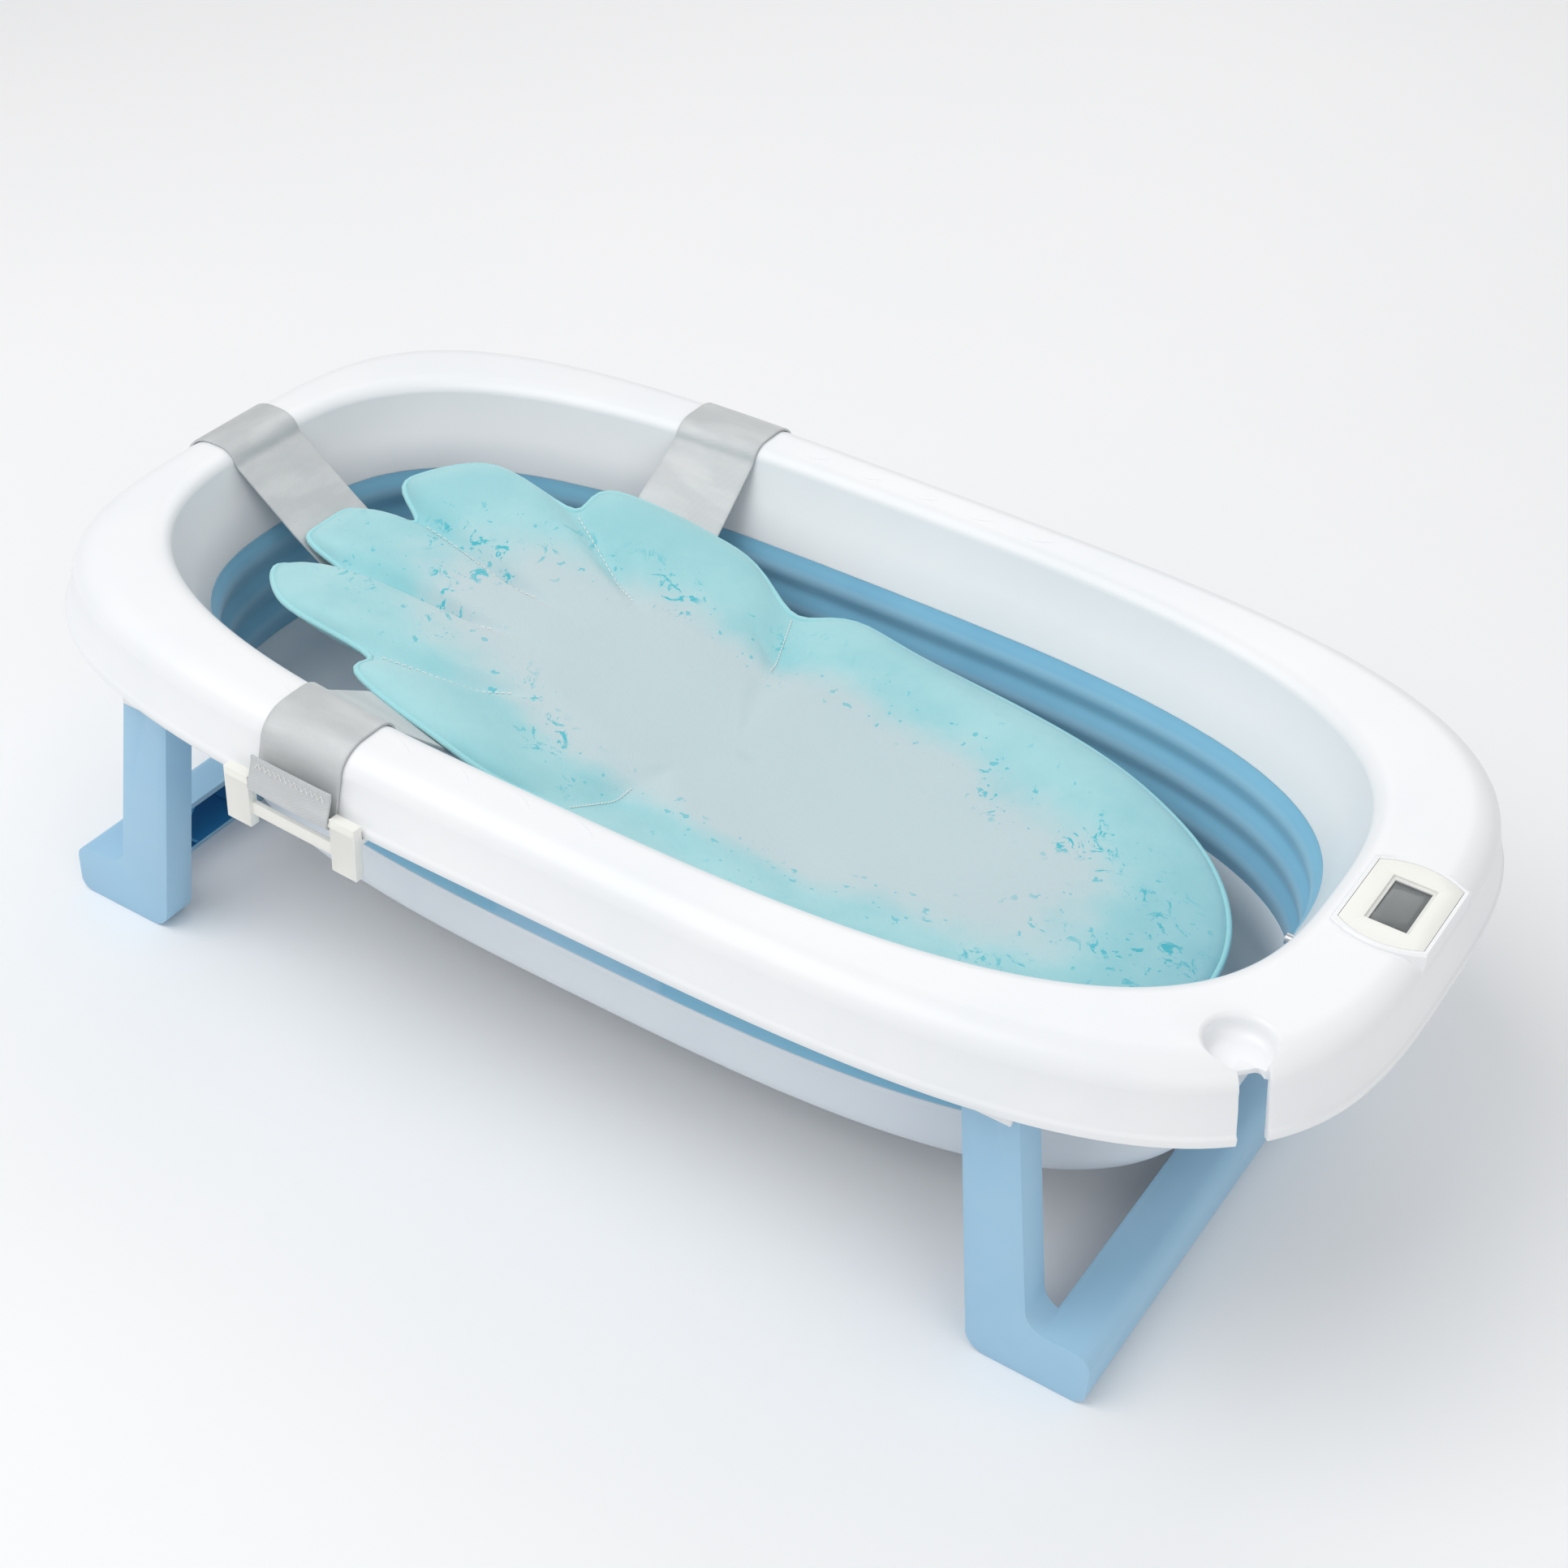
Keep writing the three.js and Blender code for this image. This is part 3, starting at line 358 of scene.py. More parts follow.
def tealPiping():
    finish = Finish("teal piping", Sheen_Weight=0.35)
    place = finish.place()
    ribs = finish.grain(finish.scaled(place, (1100, 1100, 1100)), 1, 3, 0.6)
    finish.tint(ribs, "#8ed2d9", "#b5e8ec")
    finish.feed("Roughness", 0.75 + ribs * 0.12)
    finish.bump(ribs, 0.6, 0.15 * mm)
    return finish.material


finishes = {
    "rim": mouldedPlastic("white polypropylene", "#f6f7f9", "#f0f3f6", 0.36, coat=0.12).material,
    "tray": mouldedPlastic("cool white polypropylene", "#e9f0f6", "#e1e9f1", 0.38, coat=0.1).material,
    "leg": legPlastic(),
    "wall": elastomer(),
    "ivory": mouldedPlastic("ivory acetal", "#f6f6f1", "#f1f1ea", 0.34, 0.35).material,
    "seal": softSeal(),
    "steel": stainless(),
    "board": circuitBoard(),
    "panel": displayPanel(),
    "window": clearWindow(),
    "thread": sewingThread(),
    "knit": printedKnit(),
    "piping": tealPiping(),
}
print("finishes mixed")


# helpers for modelling

def deselect():
    if bpy.context.mode != "OBJECT":
        bpy.ops.object.mode_set(mode="OBJECT")
    bpy.ops.object.select_all(action="DESELECT")


def only(piece):
    deselect()
    piece.select_set(True)
    bpy.context.view_layer.objects.active = piece


def applyAll(piece):
    only(piece)
    for modifier in list(piece.modifiers):
        bpy.ops.object.modifier_apply(modifier=modifier.name)


def settle(piece):  # the place goes into the mesh
    only(piece)
    bpy.ops.object.transform_apply(location=True, rotation=True, scale=True)


def faceOutwards():  # leaves edit mode with every face turned outwards
    bpy.ops.mesh.select_all(action="SELECT")
    bpy.ops.mesh.normals_make_consistent(inside=False)
    bpy.ops.object.mode_set(mode="OBJECT")


def finished(piece, name, body, material, angle=35, replaced=()):
    piece.name = name
    only(piece)
    piece.data.materials.clear()
    piece.data.materials.append(material)
    bpy.ops.object.shade_smooth_by_angle(angle=math.radians(angle))
    if body:
        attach(piece, body)
    if replaced:
        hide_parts(*replaced)
    return piece


def carve(piece, tool, operation="DIFFERENCE"):
    modifier = piece.modifiers.new("carve", "BOOLEAN")
    modifier.operation = operation
    modifier.object = tool
    modifier.solver = "EXACT"
    applyAll(piece)
    bpy.data.objects.remove(tool)


def roundEdges(piece, width, segments=2, angle=40):
    modifier = piece.modifiers.new("round", "BEVEL")
    modifier.width = width
    modifier.segments = segments
    modifier.limit_method = "ANGLE"
    modifier.angle_limit = math.radians(angle)
    modifier.miter_outer = "MITER_ARC"
    applyAll(piece)


# a circle drawn out row by row: rows are functions from a station's number to its place
def drawnRows(stations, rows, ends):
    deselect()
    bpy.ops.mesh.primitive_circle_add(vertices=stations, radius=0.1)
    piece = bpy.context.object
    bpy.ops.object.mode_set(mode="EDIT")
    bpy.ops.mesh.select_mode(type="EDGE")
    mesh = bmesh.from_edit_mesh(piece.data)
    layer = mesh.verts.layers.int.new("station")
    for i, corner in enumerate(mesh.verts):
        corner[layer] = i
    bmesh.update_edit_mesh(piece.data)
    for i, row in enumerate(rows + rows[:1] if ends == "loop" else rows):
        if i:
            bpy.ops.mesh.extrude_edges_move()
        mesh = bmesh.from_edit_mesh(piece.data)
        layer = mesh.verts.layers.int["station"]
        for corner in mesh.verts:
            if corner.select:
                corner.co = row(corner[layer])
        bmesh.update_edit_mesh(piece.data)
    bpy.ops.mesh.select_all(action="SELECT")
    bpy.ops.mesh.remove_doubles(threshold=1e-6)
    if ends == "fill":
        bpy.ops.mesh.fill_holes(sides=0)
    faceOutwards()
    return piece


# a profile of (radius, height) spun about a line through centre
def spun(profile, centre, axis=(0, 0, 1), steps=48):
    up = Vector(axis)
    side = up.orthogonal().normalized()
    deselect()
    bpy.ops.mesh.primitive_plane_add(size=0.01)
    piece = bpy.context.object
    bpy.ops.object.mode_set(mode="EDIT")
    bpy.ops.mesh.delete(type="VERT")
    mesh = bmesh.from_edit_mesh(piece.data)
    corners = [mesh.verts.new(Vector(centre) + side * r + up * h) for r, h in profile]
    for first, second in zip(corners, corners[1:]):
        mesh.edges.new((first, second))
    bmesh.update_edit_mesh(piece.data)
    bpy.ops.mesh.select_all(action="SELECT")
    bpy.ops.mesh.spin(steps=steps, angle=turn, center=centre, axis=up)
    bpy.ops.mesh.select_all(action="SELECT")
    bpy.ops.mesh.remove_doubles(threshold=1e-6)
    faceOutwards()
    return piece


# a copy of a CAD node as one welded mesh with its flats as single faces
def welded(node):
    deselect()
    source = nodes[node]
    source.select_set(True)
    bpy.context.view_layer.objects.active = source
    bpy.ops.object.duplicate()
    piece = bpy.context.object
    piece.parent = None
    for key in list(piece.keys()):
        del piece[key]
    bpy.ops.object.mode_set(mode="EDIT")
    bpy.ops.mesh.select_all(action="SELECT")
    bpy.ops.mesh.remove_doubles(threshold=2e-6)
    bpy.ops.mesh.dissolve_limited(angle_limit=math.radians(1.5))
    bpy.ops.object.mode_set(mode="OBJECT")
    return piece


# a CAD node's copy with rounded edges and its finish
def dressed(node, name, body, finish, rounding=0, segments=2):
    piece = welded(node)
    if rounding:
        roundEdges(piece, rounding, segments, 50)
    return finished(piece, name, body, finishes[finish], 35, [node])


# outlines in plan: an angle and an inset give a place

rimLow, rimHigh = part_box("rim_shell")
rim = {
    "length": rimHigh.x - rimLow.x,
    "width": rimHigh.y - rimLow.y,
    "middle": (rimHigh.x + rimLow.x) / 2,
    "top": rimHigh.z - 2 * mm,
    "skirt": 41 * mm,
    "footPower": 3.4,
    "headPower": 3.9,
    "wall": 3 * mm,
    "beadHeight": 5 * mm,
    "beadDepth": 1.5 * mm,
    "draft": 6 * mm,
    "shoulderWidth": 18 * mm,
    "shoulderDrop": 15 * mm,
}
opening = {
    "length": 710 * mm,
    "width": 352 * mm,
    "middle": rim["middle"] - 13 * mm,
    "power": 3,
    "rollWidth": 12 * mm,
    "rollDrop": 9 * mm,
    "draft": 17 * mm,
}
skirtZ = rim["top"] - rim["skirt"]
rollZ = rim["top"] - opening["rollDrop"]
innerWallZ = rimLow.z
stations = 288


def squircle(angle, halfLength, halfWidth, power):
    c = math.cos(angle)
    s = math.sin(angle)
    reach = (abs(c) ** power + abs(s) ** power) ** (-1 / power)
    return Vector((halfLength * c * reach, halfWidth * s * reach))


def rimEdge(angle, inset):
    share = (1 + math.cos(angle)) / 2
    power = rim["headPower"] + (rim["footPower"] - rim["headPower"]) * share
    edge = squircle(angle, rim["length"] / 2 - inset, rim["width"] / 2 - inset, power)
    return edge + Vector((rim["middle"], 0))


def openingEdge(angle, inset):
    size = [opening[key] / 2 - inset for key in ("length", "width")]
    return squircle(angle, *size, opening["power"]) + Vector((opening["middle"], 0))


def onRim(inset, z):
    return (rimEdge, inset, z)


def onOpening(inset, z):
    return (openingEdge, inset, z)


def placed(section, angle):
    edge, inset, z = section
    return edge(angle, inset).to_3d() + Vector((0, 0, z))


def rowOf(section, count=stations):
    return lambda station: placed(section, station / count * turn)


def quarter(start, end, steps, risingFirst):
    made = []
    for i in range(steps + 1):
        angle = i / steps * math.pi / 2
        early = math.sin(angle)
        late = 1 - math.cos(angle)
        across, rise = (late, early) if risingFirst else (early, late)
        edge, inset, z = start
        made.append((edge, inset + (end[1] - inset) * across, z + (end[2] - z) * rise))
    return made


def crossingAngle(section, axis, value, low, high):  # where an outline crosses x or y = value
    startsAbove = placed(section, low)[axis] > value
    for _ in range(40):
        middle = (low + high) / 2
        if (placed(section, middle)[axis] > value) == startsAbove:
            low = middle
        else:
            high = middle
    return low


def rimHeading(angle):
    along = rimEdge(angle + 0.01, 0) - rimEdge(angle - 0.01, 0)
    return math.atan2(-along.x, along.y)


# rim

rimSkin = [
    onRim(0.4 * mm, skirtZ),
    onRim(0, skirtZ + 0.5 * mm),
    onRim(0, skirtZ + rim["beadHeight"] - 0.6 * mm),
    onRim(0.2 * mm, skirtZ + rim["beadHeight"]),
    onRim(rim["beadDepth"] * 0.75, skirtZ + rim["beadHeight"] + rim["beadDepth"] * 0.6),
    onRim(rim["beadDepth"] + 0.15 * mm, skirtZ + rim["beadHeight"] + rim["beadDepth"] * 1.3),
    onRim((rim["beadDepth"] + rim["draft"]) * 0.55, (skirtZ + rim["top"]) / 2 - 1.5 * mm),
    *quarter(
        onRim(rim["draft"], rim["top"] - rim["shoulderDrop"]),
        onRim(rim["draft"] + rim["shoulderWidth"], rim["top"]),
        12,
        True,
    ),
    *quarter(onOpening(-opening["rollWidth"], rim["top"]), onOpening(0, rollZ), 10, False),
    onOpening(opening["draft"] * 0.5, (rollZ + innerWallZ) / 2),
    onOpening(opening["draft"] - 0.4 * mm, innerWallZ + 1 * mm),
    onOpening(opening["draft"] - 0.3 * mm, innerWallZ),
]


def rimUnderside(depth):
    return [
        onOpening(opening["draft"] - depth, innerWallZ),
        *reversed(quarter(
            onOpening(-opening["rollWidth"], rim["top"] - depth),
            onOpening(-depth, rollZ - depth / 2),
            6,
            False,
        )),
        *reversed(quarter(
            onRim(rim["draft"] + depth, rim["top"] - rim["shoulderDrop"]),
            onRim(rim["draft"] + rim["shoulderWidth"], rim["top"] - depth),
            7,
            True,
        )),
        onRim(rim["beadDepth"] + depth, skirtZ + rim["beadHeight"] + rim["beadDepth"]),
        onRim(depth, skirtZ),
    ]


plateLow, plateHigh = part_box("thermometer_faceplate")
plate = {
    "middle": (plateLow.x + plateHigh.x) / 2,
    "halfLength": (plateHigh.x - plateLow.x) / 2,
    "halfWidth": 27 * mm,
    "bulge": 14 * mm,
    "top": plateHigh.z,
    "bottom": plateLow.z,
    "ledge": 2.4 * mm,
    "collar": 3 * mm,
    "collarDrop": 17 * mm,
    "gap": 0.3 * mm,
    "steps": 96,
}


# the plate's outline, with straight sides and bulged ends, grown by a margin
def plateRow(margin, z):
    half = plate["halfLength"] + margin
    side = plate["halfWidth"] + margin
    tip = plate["bulge"]

    def row(station):
        share = station / plate["steps"] * 4
        part = int(share)
        t = share - part
        bow = side + 2 * tip * t * (1 - t)
        x, y = {
            0: (half, side * (2 * t - 1)),
            1: (half * (1 - 2 * t), bow),
            2: (-half, side * (1 - 2 * t)),
            3: (half * (2 * t - 1), -bow),
        }[part]
        return Vector((plate["middle"] + x, y, z))

    return row


def plateSlab(margin, low, high, softness=0):
    rows = [plateRow(margin - softness, low)] if softness else []
    rows += [plateRow(margin, low + softness), plateRow(margin, high - softness)]
    rows += [plateRow(margin - softness, high)] if softness else []
    return drawnRows(plate["steps"], rows, "fill")


notch = {
    "station": -0.64,
    "inset": 25 * mm,
    "radius": 17 * mm,
    "depth": 11 * mm,
    "slot": 16 * mm,
    "cup": 3 * mm,
    "flare": 3.5 * mm,
    "fillet": 5 * mm,
    "slotStart": 9 * mm,
    "slotRound": 3 * mm,
}
probe = {"radius": 3.5 * mm, "y": -8 * mm, "drop": 41 * mm}


def hoseNotch(shell):
    centre = rimEdge(notch["station"], notch["inset"])
    heading = rimHeading(notch["station"])
    floorZ = rim["top"] - notch["depth"]
    outer = notch["radius"] + notch["cup"]
    under = floorZ - notch["cup"]
    cup = [(0, under), (outer - 4 * mm, under), (outer, floorZ + 1 * mm)]
    cup += [(outer, rim["top"]), (0, rim["top"])]
    cup = spun(cup, (centre.x, centre.y, 0), steps=64)
    whole = drawnRows(stations, [rowOf(section) for section in rimSkin], "loop")
    carve(cup, whole, "INTERSECT")
    carve(shell, cup, "UNION")
    radius, fillet, flare = notch["radius"], notch["fillet"], notch["flare"]
    dish = [(0, floorZ)]
    dish += [(radius - fillet + fillet * math.sin(a), floorZ + fillet - fillet * math.cos(a))
             for a in (i * math.pi / 12 for i in range(7))]
    dish += [(radius + flare - flare * math.cos(a), rim["top"] - flare + flare * math.sin(a))
             for a in (i * math.pi / 12 for i in range(6))]
    dish += [(radius + flare + 1.2 * mm, rim["top"] + 0.4 * mm), (0, rim["top"] + 0.4 * mm)]
    carve(shell, spun(dish, (centre.x, centre.y, 0), steps=72))
    deselect()
    bpy.ops.mesh.primitive_cube_add(size=1)
    slot = bpy.context.object
    reach = notch["inset"] + notch["radius"]
    slot.scale = (reach, notch["slot"], rim["top"] - skirtZ + 12 * mm)
    slot.location = (reach / 2 + notch["slotStart"], 0, (rim["top"] + skirtZ) / 2)
    settle(slot)
    roundEdges(slot, notch["slotRound"], 3)
    slot.rotation_euler.z = heading
    slot.location = (centre.x, centre.y, 0)
    settle(slot)
    carve(shell, slot)


def rimPiece():
    sections = [*rimSkin, *rimUnderside(rim["wall"])]
    shell = drawnRows(stations, [rowOf(section) for section in sections], "loop")
    hoseNotch(shell)
    collarZ = rim["top"] - plate["collarDrop"]
    carve(shell, plateSlab(plate["collar"], collarZ, plate["top"], 0.8 * mm), "UNION")
    carve(shell, plateSlab(plate["gap"], plate["bottom"] - 1.8 * mm, plate["top"] + 2 * mm))
    carve(shell, plateSlab(-plate["ledge"], collarZ - 2 * mm, plate["top"]))
    probeZ = rim["top"] - probe["drop"]
    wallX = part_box("temperature_probe")[0].x
    radius, back, front = probe["radius"], -9 * mm, 16 * mm
    bore = [(0, back), (radius, back), (radius, front), (0, front)]
    carve(shell, spun(bore, (wallX, probe["y"], probeZ), (1, 0, 0), 24))
    roundEdges(shell, 0.7 * mm, 2, 50)
    return finished(shell, "rim", "rim", finishes["rim"], 40, ["rim_shell"])


rimMesh = rimPiece()
rimSurface = BVHTree.FromObject(rimMesh, bpy.context.evaluated_depsgraph_get())
print("rim moulded")

# raised crescents that the fingers feel on both long sides
grips = {
    "near": rim["middle"] - 179 * mm,
    "far": rim["middle"] - 84 * mm,
    "pitch": 39 * mm,
    "y": 192 * mm,
    "length": 22 * mm,
    "bow": 4 * mm,
    "slant": 4 * mm,
}


def gripMarks():
    paths = []
    for side, start, count in ((-1, grips["near"], 6), (1, grips["far"], 5)):
        for i in range(count):
            path = []
            for step in range(15):
                share = step / 14 * 2 - 1
                x = start + i * grips["pitch"] + share * grips["length"] / 2
                y = side * (grips["y"] - grips["bow"] * (1 - share * share) + grips["slant"] * share)
                spot, normal = rimSurface.ray_cast(Vector((x, y, 0.3)), Vector((0, 0, -1)))[:2]
                path.append((spot - normal * 0.25 * mm, 1 - share * share * 0.85))
            paths.append(path)
    tubes(paths, 0.62 * mm, "grip_marks", "rim")


# round threads and beads along lists of (place, width share), all in one piece
def tubes(paths, radius, name, body, material="rim", closed=False):
    deselect()
    curve = bpy.data.curves.new(name, "CURVE")
    curve.dimensions = "3D"
    curve.bevel_depth = radius
    curve.bevel_resolution = 2
    curve.use_fill_caps = not closed
    for path in paths:
        line = curve.splines.new("POLY")
        line.points.add(len(path) - 1)
        line.use_cyclic_u = closed
        for point, (place, share) in zip(line.points, path):
            point.co = (*place, 1)
            point.radius = share
    piece = bpy.data.objects.new(name, curve)
    bpy.context.scene.collection.objects.link(piece)
    only(piece)
    bpy.ops.object.convert(target="MESH")
    piece = bpy.context.object
    bpy.ops.object.mode_set(mode="EDIT")
    faceOutwards()
    return finished(piece, name, body, finishes[material], 60)


gripMarks()
print("grip marks raised")

# folding wall and tray

wallLow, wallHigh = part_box("folding_wall")
wall = {
    "top": wallHigh.z,
    "height": wallHigh.z - wallLow.z,
    "thickness": 2.6 * mm,
    "folds": 3,
    "foldDepth": 3 * mm,
    "taper": 5 * mm,
    "rows": 36,
}


def foldInset(share):
    wave = 1 - math.cos(share * wall["folds"] * turn)
    pleat = abs(wave / 2) ** 0.8
    return opening["draft"] + wall["taper"] * share + wall["foldDepth"] * pleat


def foldingWall():
    def face(depth):
        shares = [i / wall["rows"] for i in range(wall["rows"] + 1)]
        return [onOpening(foldInset(s) - depth, wall["top"] - s * wall["height"]) for s in shares]

    rows = [rowOf(section) for section in [*face(0), *reversed(face(wall["thickness"]))]]
    piece = drawnRows(stations, rows, "loop")
    finished(piece, "folding_wall_skin", None, finishes["wall"], 60, ["folding_wall"])
    # inside: 1 on the inner face, which the finish paints a deeper blue as painted shade
    inside = piece.data.attributes.new("inside", "FLOAT", "POINT")
    crest = piece.data.attributes.new("crest", "FLOAT", "POINT")
    middle = Vector((opening["middle"], 0))
    for i, corner in enumerate(piece.data.vertices):
        share = (wall["top"] - corner.co.z) / wall["height"]
        away = corner.co.xy - middle
        angle = math.atan2(away.y * opening["length"], away.x * opening["width"])
        edge = openingEdge(angle, foldInset(share) - wall["thickness"] / 2) - middle
        inside.data[i].value = 1.0 if away.length < edge.length else 0.0
        crest.data[i].value = (1 - math.cos(share * wall["folds"] * turn)) / 2
    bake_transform(piece)


foldingWall()
print("folding wall pleated")

trayLow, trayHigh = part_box("base_tray")
tray = {"wall": 3 * mm, "draft": 3 * mm, "radius": 28 * mm, "lip": 1.1 * mm, "lipHeight": 5 * mm}
tray["inset"] = opening["draft"] + wall["taper"] - wall["thickness"]


def trayFace(depth):
    radius = tray["radius"] - depth
    side = tray["inset"] + tray["draft"] + depth
    start = onOpening(side, trayLow.z + tray["radius"])
    return quarter(start, onOpening(side + radius, trayLow.z + depth), 10, True)


def baseTray():
    low, high = trayLow.z, trayHigh.z
    inset, lip = tray["inset"], tray["lip"]
    outside = [
        onOpening(inset + 0.5 * mm, high),
        onOpening(inset, high - 0.5 * mm),
        onOpening(inset, high - tray["lipHeight"] + 0.6 * mm),
        onOpening(inset + lip * 0.5, high - tray["lipHeight"] - 0.2 * mm),
        onOpening(inset + lip, high - tray["lipHeight"] - 1.4 * mm),
    ]
    inside = [
        onOpening(inset + tray["wall"] - 0.5 * mm, high),
        onOpening(inset + tray["wall"], high - 0.5 * mm),
    ]
    bendEnd = inset + tray["draft"] + tray["radius"]
    floorInsets = [bendEnd + reach for reach in (8 * mm, 30 * mm, 70 * mm)]
    under = [onOpening(value, low) for value in floorInsets]
    over = [onOpening(value, low + tray["wall"]) for value in floorInsets]
    sections = [*reversed(under), *reversed(trayFace(0)), *reversed(outside), *inside]
    sections += [*trayFace(tray["wall"]), *over]
    piece = drawnRows(stations, [rowOf(section) for section in sections], "fill")
    sealLow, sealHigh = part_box("drain_seal")
    centre = ((sealLow.x + sealHigh.x) / 2, 0, 0)
    radius, bottom, top = 14 * mm, low - 1 * mm, low + 9 * mm
    carve(piece, spun([(0, bottom), (radius, bottom), (radius, top), (0, top)], centre))
    return finished(piece, "tray", "base", finishes["tray"], 40, ["base_tray"])


baseTray()


# anti-slip ribs on the tray's floor, seen when the cushion is out
grip = {"count": 9, "pitch": 34 * mm, "halfLength": 84 * mm, "bow": 9 * mm, "radius": 0.9 * mm}


def trayRibs():
    floor = trayLow.z + tray["wall"]
    paths = []
    for i in range(grip["count"]):
        x = opening["middle"] + (i - 5) * grip["pitch"]
        path = []
        for step in range(25):
            share = step / 24 * 2 - 1
            spot = Vector((x - grip["bow"] * share * share, share * grip["halfLength"], floor))
            path.append((spot, 1 - 0.6 * abs(share) ** 6))
        paths.append(path)
    tubes(paths, grip["radius"], "tray_ribs", "base", "tray")


trayRibs()


def drain():
    low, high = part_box("drain_seal")
    centre = ((low.x + high.x) / 2, 0, low.z)
    deep = high.z - low.z
    inner, neck = 11.3 * mm, 13.7 * mm
    ring = [
        (inner, 0), (neck, 0), (neck, 3.2 * mm), (17.6 * mm, 3.3 * mm), (18 * mm, 3.8 * mm),
        (17.4 * mm, deep - 0.2 * mm), (12 * mm, deep), (inner, deep - 0.5 * mm), (inner, 0),
    ]
    ring = spun(ring, centre, steps=56)
    finished(ring, "drain_ring", "base", finishes["seal"], 40, ["drain_seal"])
    low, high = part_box("drain_plug")
    tall = high.z - low.z
    head = deep + 0.3 * mm
    knob = [
        (0, 0.3 * mm), (8 * mm, 0.3 * mm), (8.4 * mm, 0), (10.4 * mm, 0), (11 * mm, 0.6 * mm),
        (11 * mm, head), (15.2 * mm, head), (16 * mm, head + 0.8 * mm), (15.4 * mm, head + 1.7 * mm),
        (12 * mm, head + 2.3 * mm), (5.6 * mm, head + 2.4 * mm), (4.3 * mm, head + 3.4 * mm),
        (4.1 * mm, tall - 3.4 * mm),
        (5 * mm, tall - 2.2 * mm), (4.8 * mm, tall - 0.8 * mm), (3.6 * mm, tall), (0, tall),
    ]
    knob = spun(knob, (centre[0], 0, low.z), steps=56)
    finished(knob, "plug_knob", "plug", finishes["rim"], 40, ["drain_plug"])


drain()
print("tray and drain set")

# legs and hinges

leg = {
    "round": 1.5 * mm,
    "wall": 3 * mm,
    "speck": 2e-6,
    "toeReach": 77 * mm,
    "hingeZ": rim["top"] - 39 * mm,
    "lean": 24 * mm,
    "rib": 1.8 * mm,
    "barRibs": {
        "count": 5, "span": 346 * mm, "z": 17 * mm,
        "length": 39 * mm, "from": 47.5 * mm, "to": 71.5 * mm,
    },
    "strutRibs": {
        "count": 3, "low": 34 * mm, "high": 150 * mm,
        "length": 34 * mm, "from": 174 * mm, "to": 192 * mm,
    },
}


# marks the faces down in a leg's open section, which face the far side or their own walls, for the painted
# shade of the hollow
def markHollowShade(piece, outerY, wallY):
    surface = BVHTree.FromObject(piece, bpy.context.evaluated_depsgraph_get())
    mark = piece.data.attributes.new("hollowShade", "FLOAT", "FACE")
    for face in piece.data.polygons:
        start = face.center + face.normal * 0.2 * mm
        hit = surface.ray_cast(start, face.normal, 0.05)
        towardsMiddle = face.normal.y * face.center.y < -0.5 * abs(face.center.y)
        floor = towardsMiddle and abs(face.center.y) > outerY - wallY - 2 * mm
        large = face.area > leg["speck"]
        mark.data[face.index].value = 1.0 if large and (hit[0] is not None or floor) else 0.0


def slantedRib(place, size, axis, slope):
    bpy.ops.mesh.primitive_cube_add(size=1)
    rib = bpy.context.object
    rib.scale = size
    settle(rib)
    rib.rotation_euler[axis] = slope
    rib.location = place
    settle(rib)
    return rib


# crossed ribs that make a star with each straight rib, in the open back of the bar and of both struts
def starRibs(end):
    low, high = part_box(f"{end}_leg_frame")
    outwards = 1 if end == "foot" else -1
    hingeX = (high.x if end == "foot" else low.x) - outwards * leg["toeReach"]
    bars, struts = leg["barRibs"], leg["strutRibs"]
    ribs = []
    deselect()
    for slope in (-math.pi / 4, math.pi / 4):
        for i in range(bars["count"]):
            y = ((i + 0.5) / bars["count"] - 0.5) * bars["span"]
            x = hingeX + outwards * (bars["from"] + bars["to"]) / 2
            size = (bars["to"] - bars["from"], leg["rib"], bars["length"])
            ribs.append(slantedRib((x, y, bars["z"]), size, 0, slope))
        for i in range(struts["count"]):
            z = struts["low"] + (i + 0.5) / struts["count"] * (struts["high"] - struts["low"])
            x = hingeX + outwards * leg["lean"] * (1 - z / leg["hingeZ"])
            size = (leg["rib"], struts["to"] - struts["from"], struts["length"])
            for flank in (-1, 1):
                y = flank * (struts["from"] + struts["to"]) / 2
                ribs.append(slantedRib((x, y, z), size, 1, slope))
    deselect()
    for rib in ribs:
        rib.select_set(True)
    bpy.context.view_layer.objects.active = ribs[0]
    bpy.ops.object.join()
    piece = bpy.context.object
    # the ribs sit in the hollow and take its painted shade
    mark = piece.data.attributes.new("hollowShade", "FLOAT", "FACE")
    for face in piece.data.polygons:
        mark.data[face.index].value = 1.0
    finished(piece, f"{end}_leg_star_ribs", f"{end}_leg", finishes["leg"], 35)


def legFrames():
    for end in ("foot", "head"):
        piece = welded(f"{end}_leg_frame")
        roundEdges(piece, leg["round"], 2, 50)
        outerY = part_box(f"{end}_leg_frame")[1].y
        markHollowShade(piece, outerY, leg["wall"])
        finished(piece, f"{end}_leg", f"{end}_leg", finishes["leg"], 35, [f"{end}_leg_frame"])
        starRibs(end)


legFrames()


pinShape = {"head": 4.6 * mm, "headDepth": 1.4 * mm, "shaft": 3 * mm}


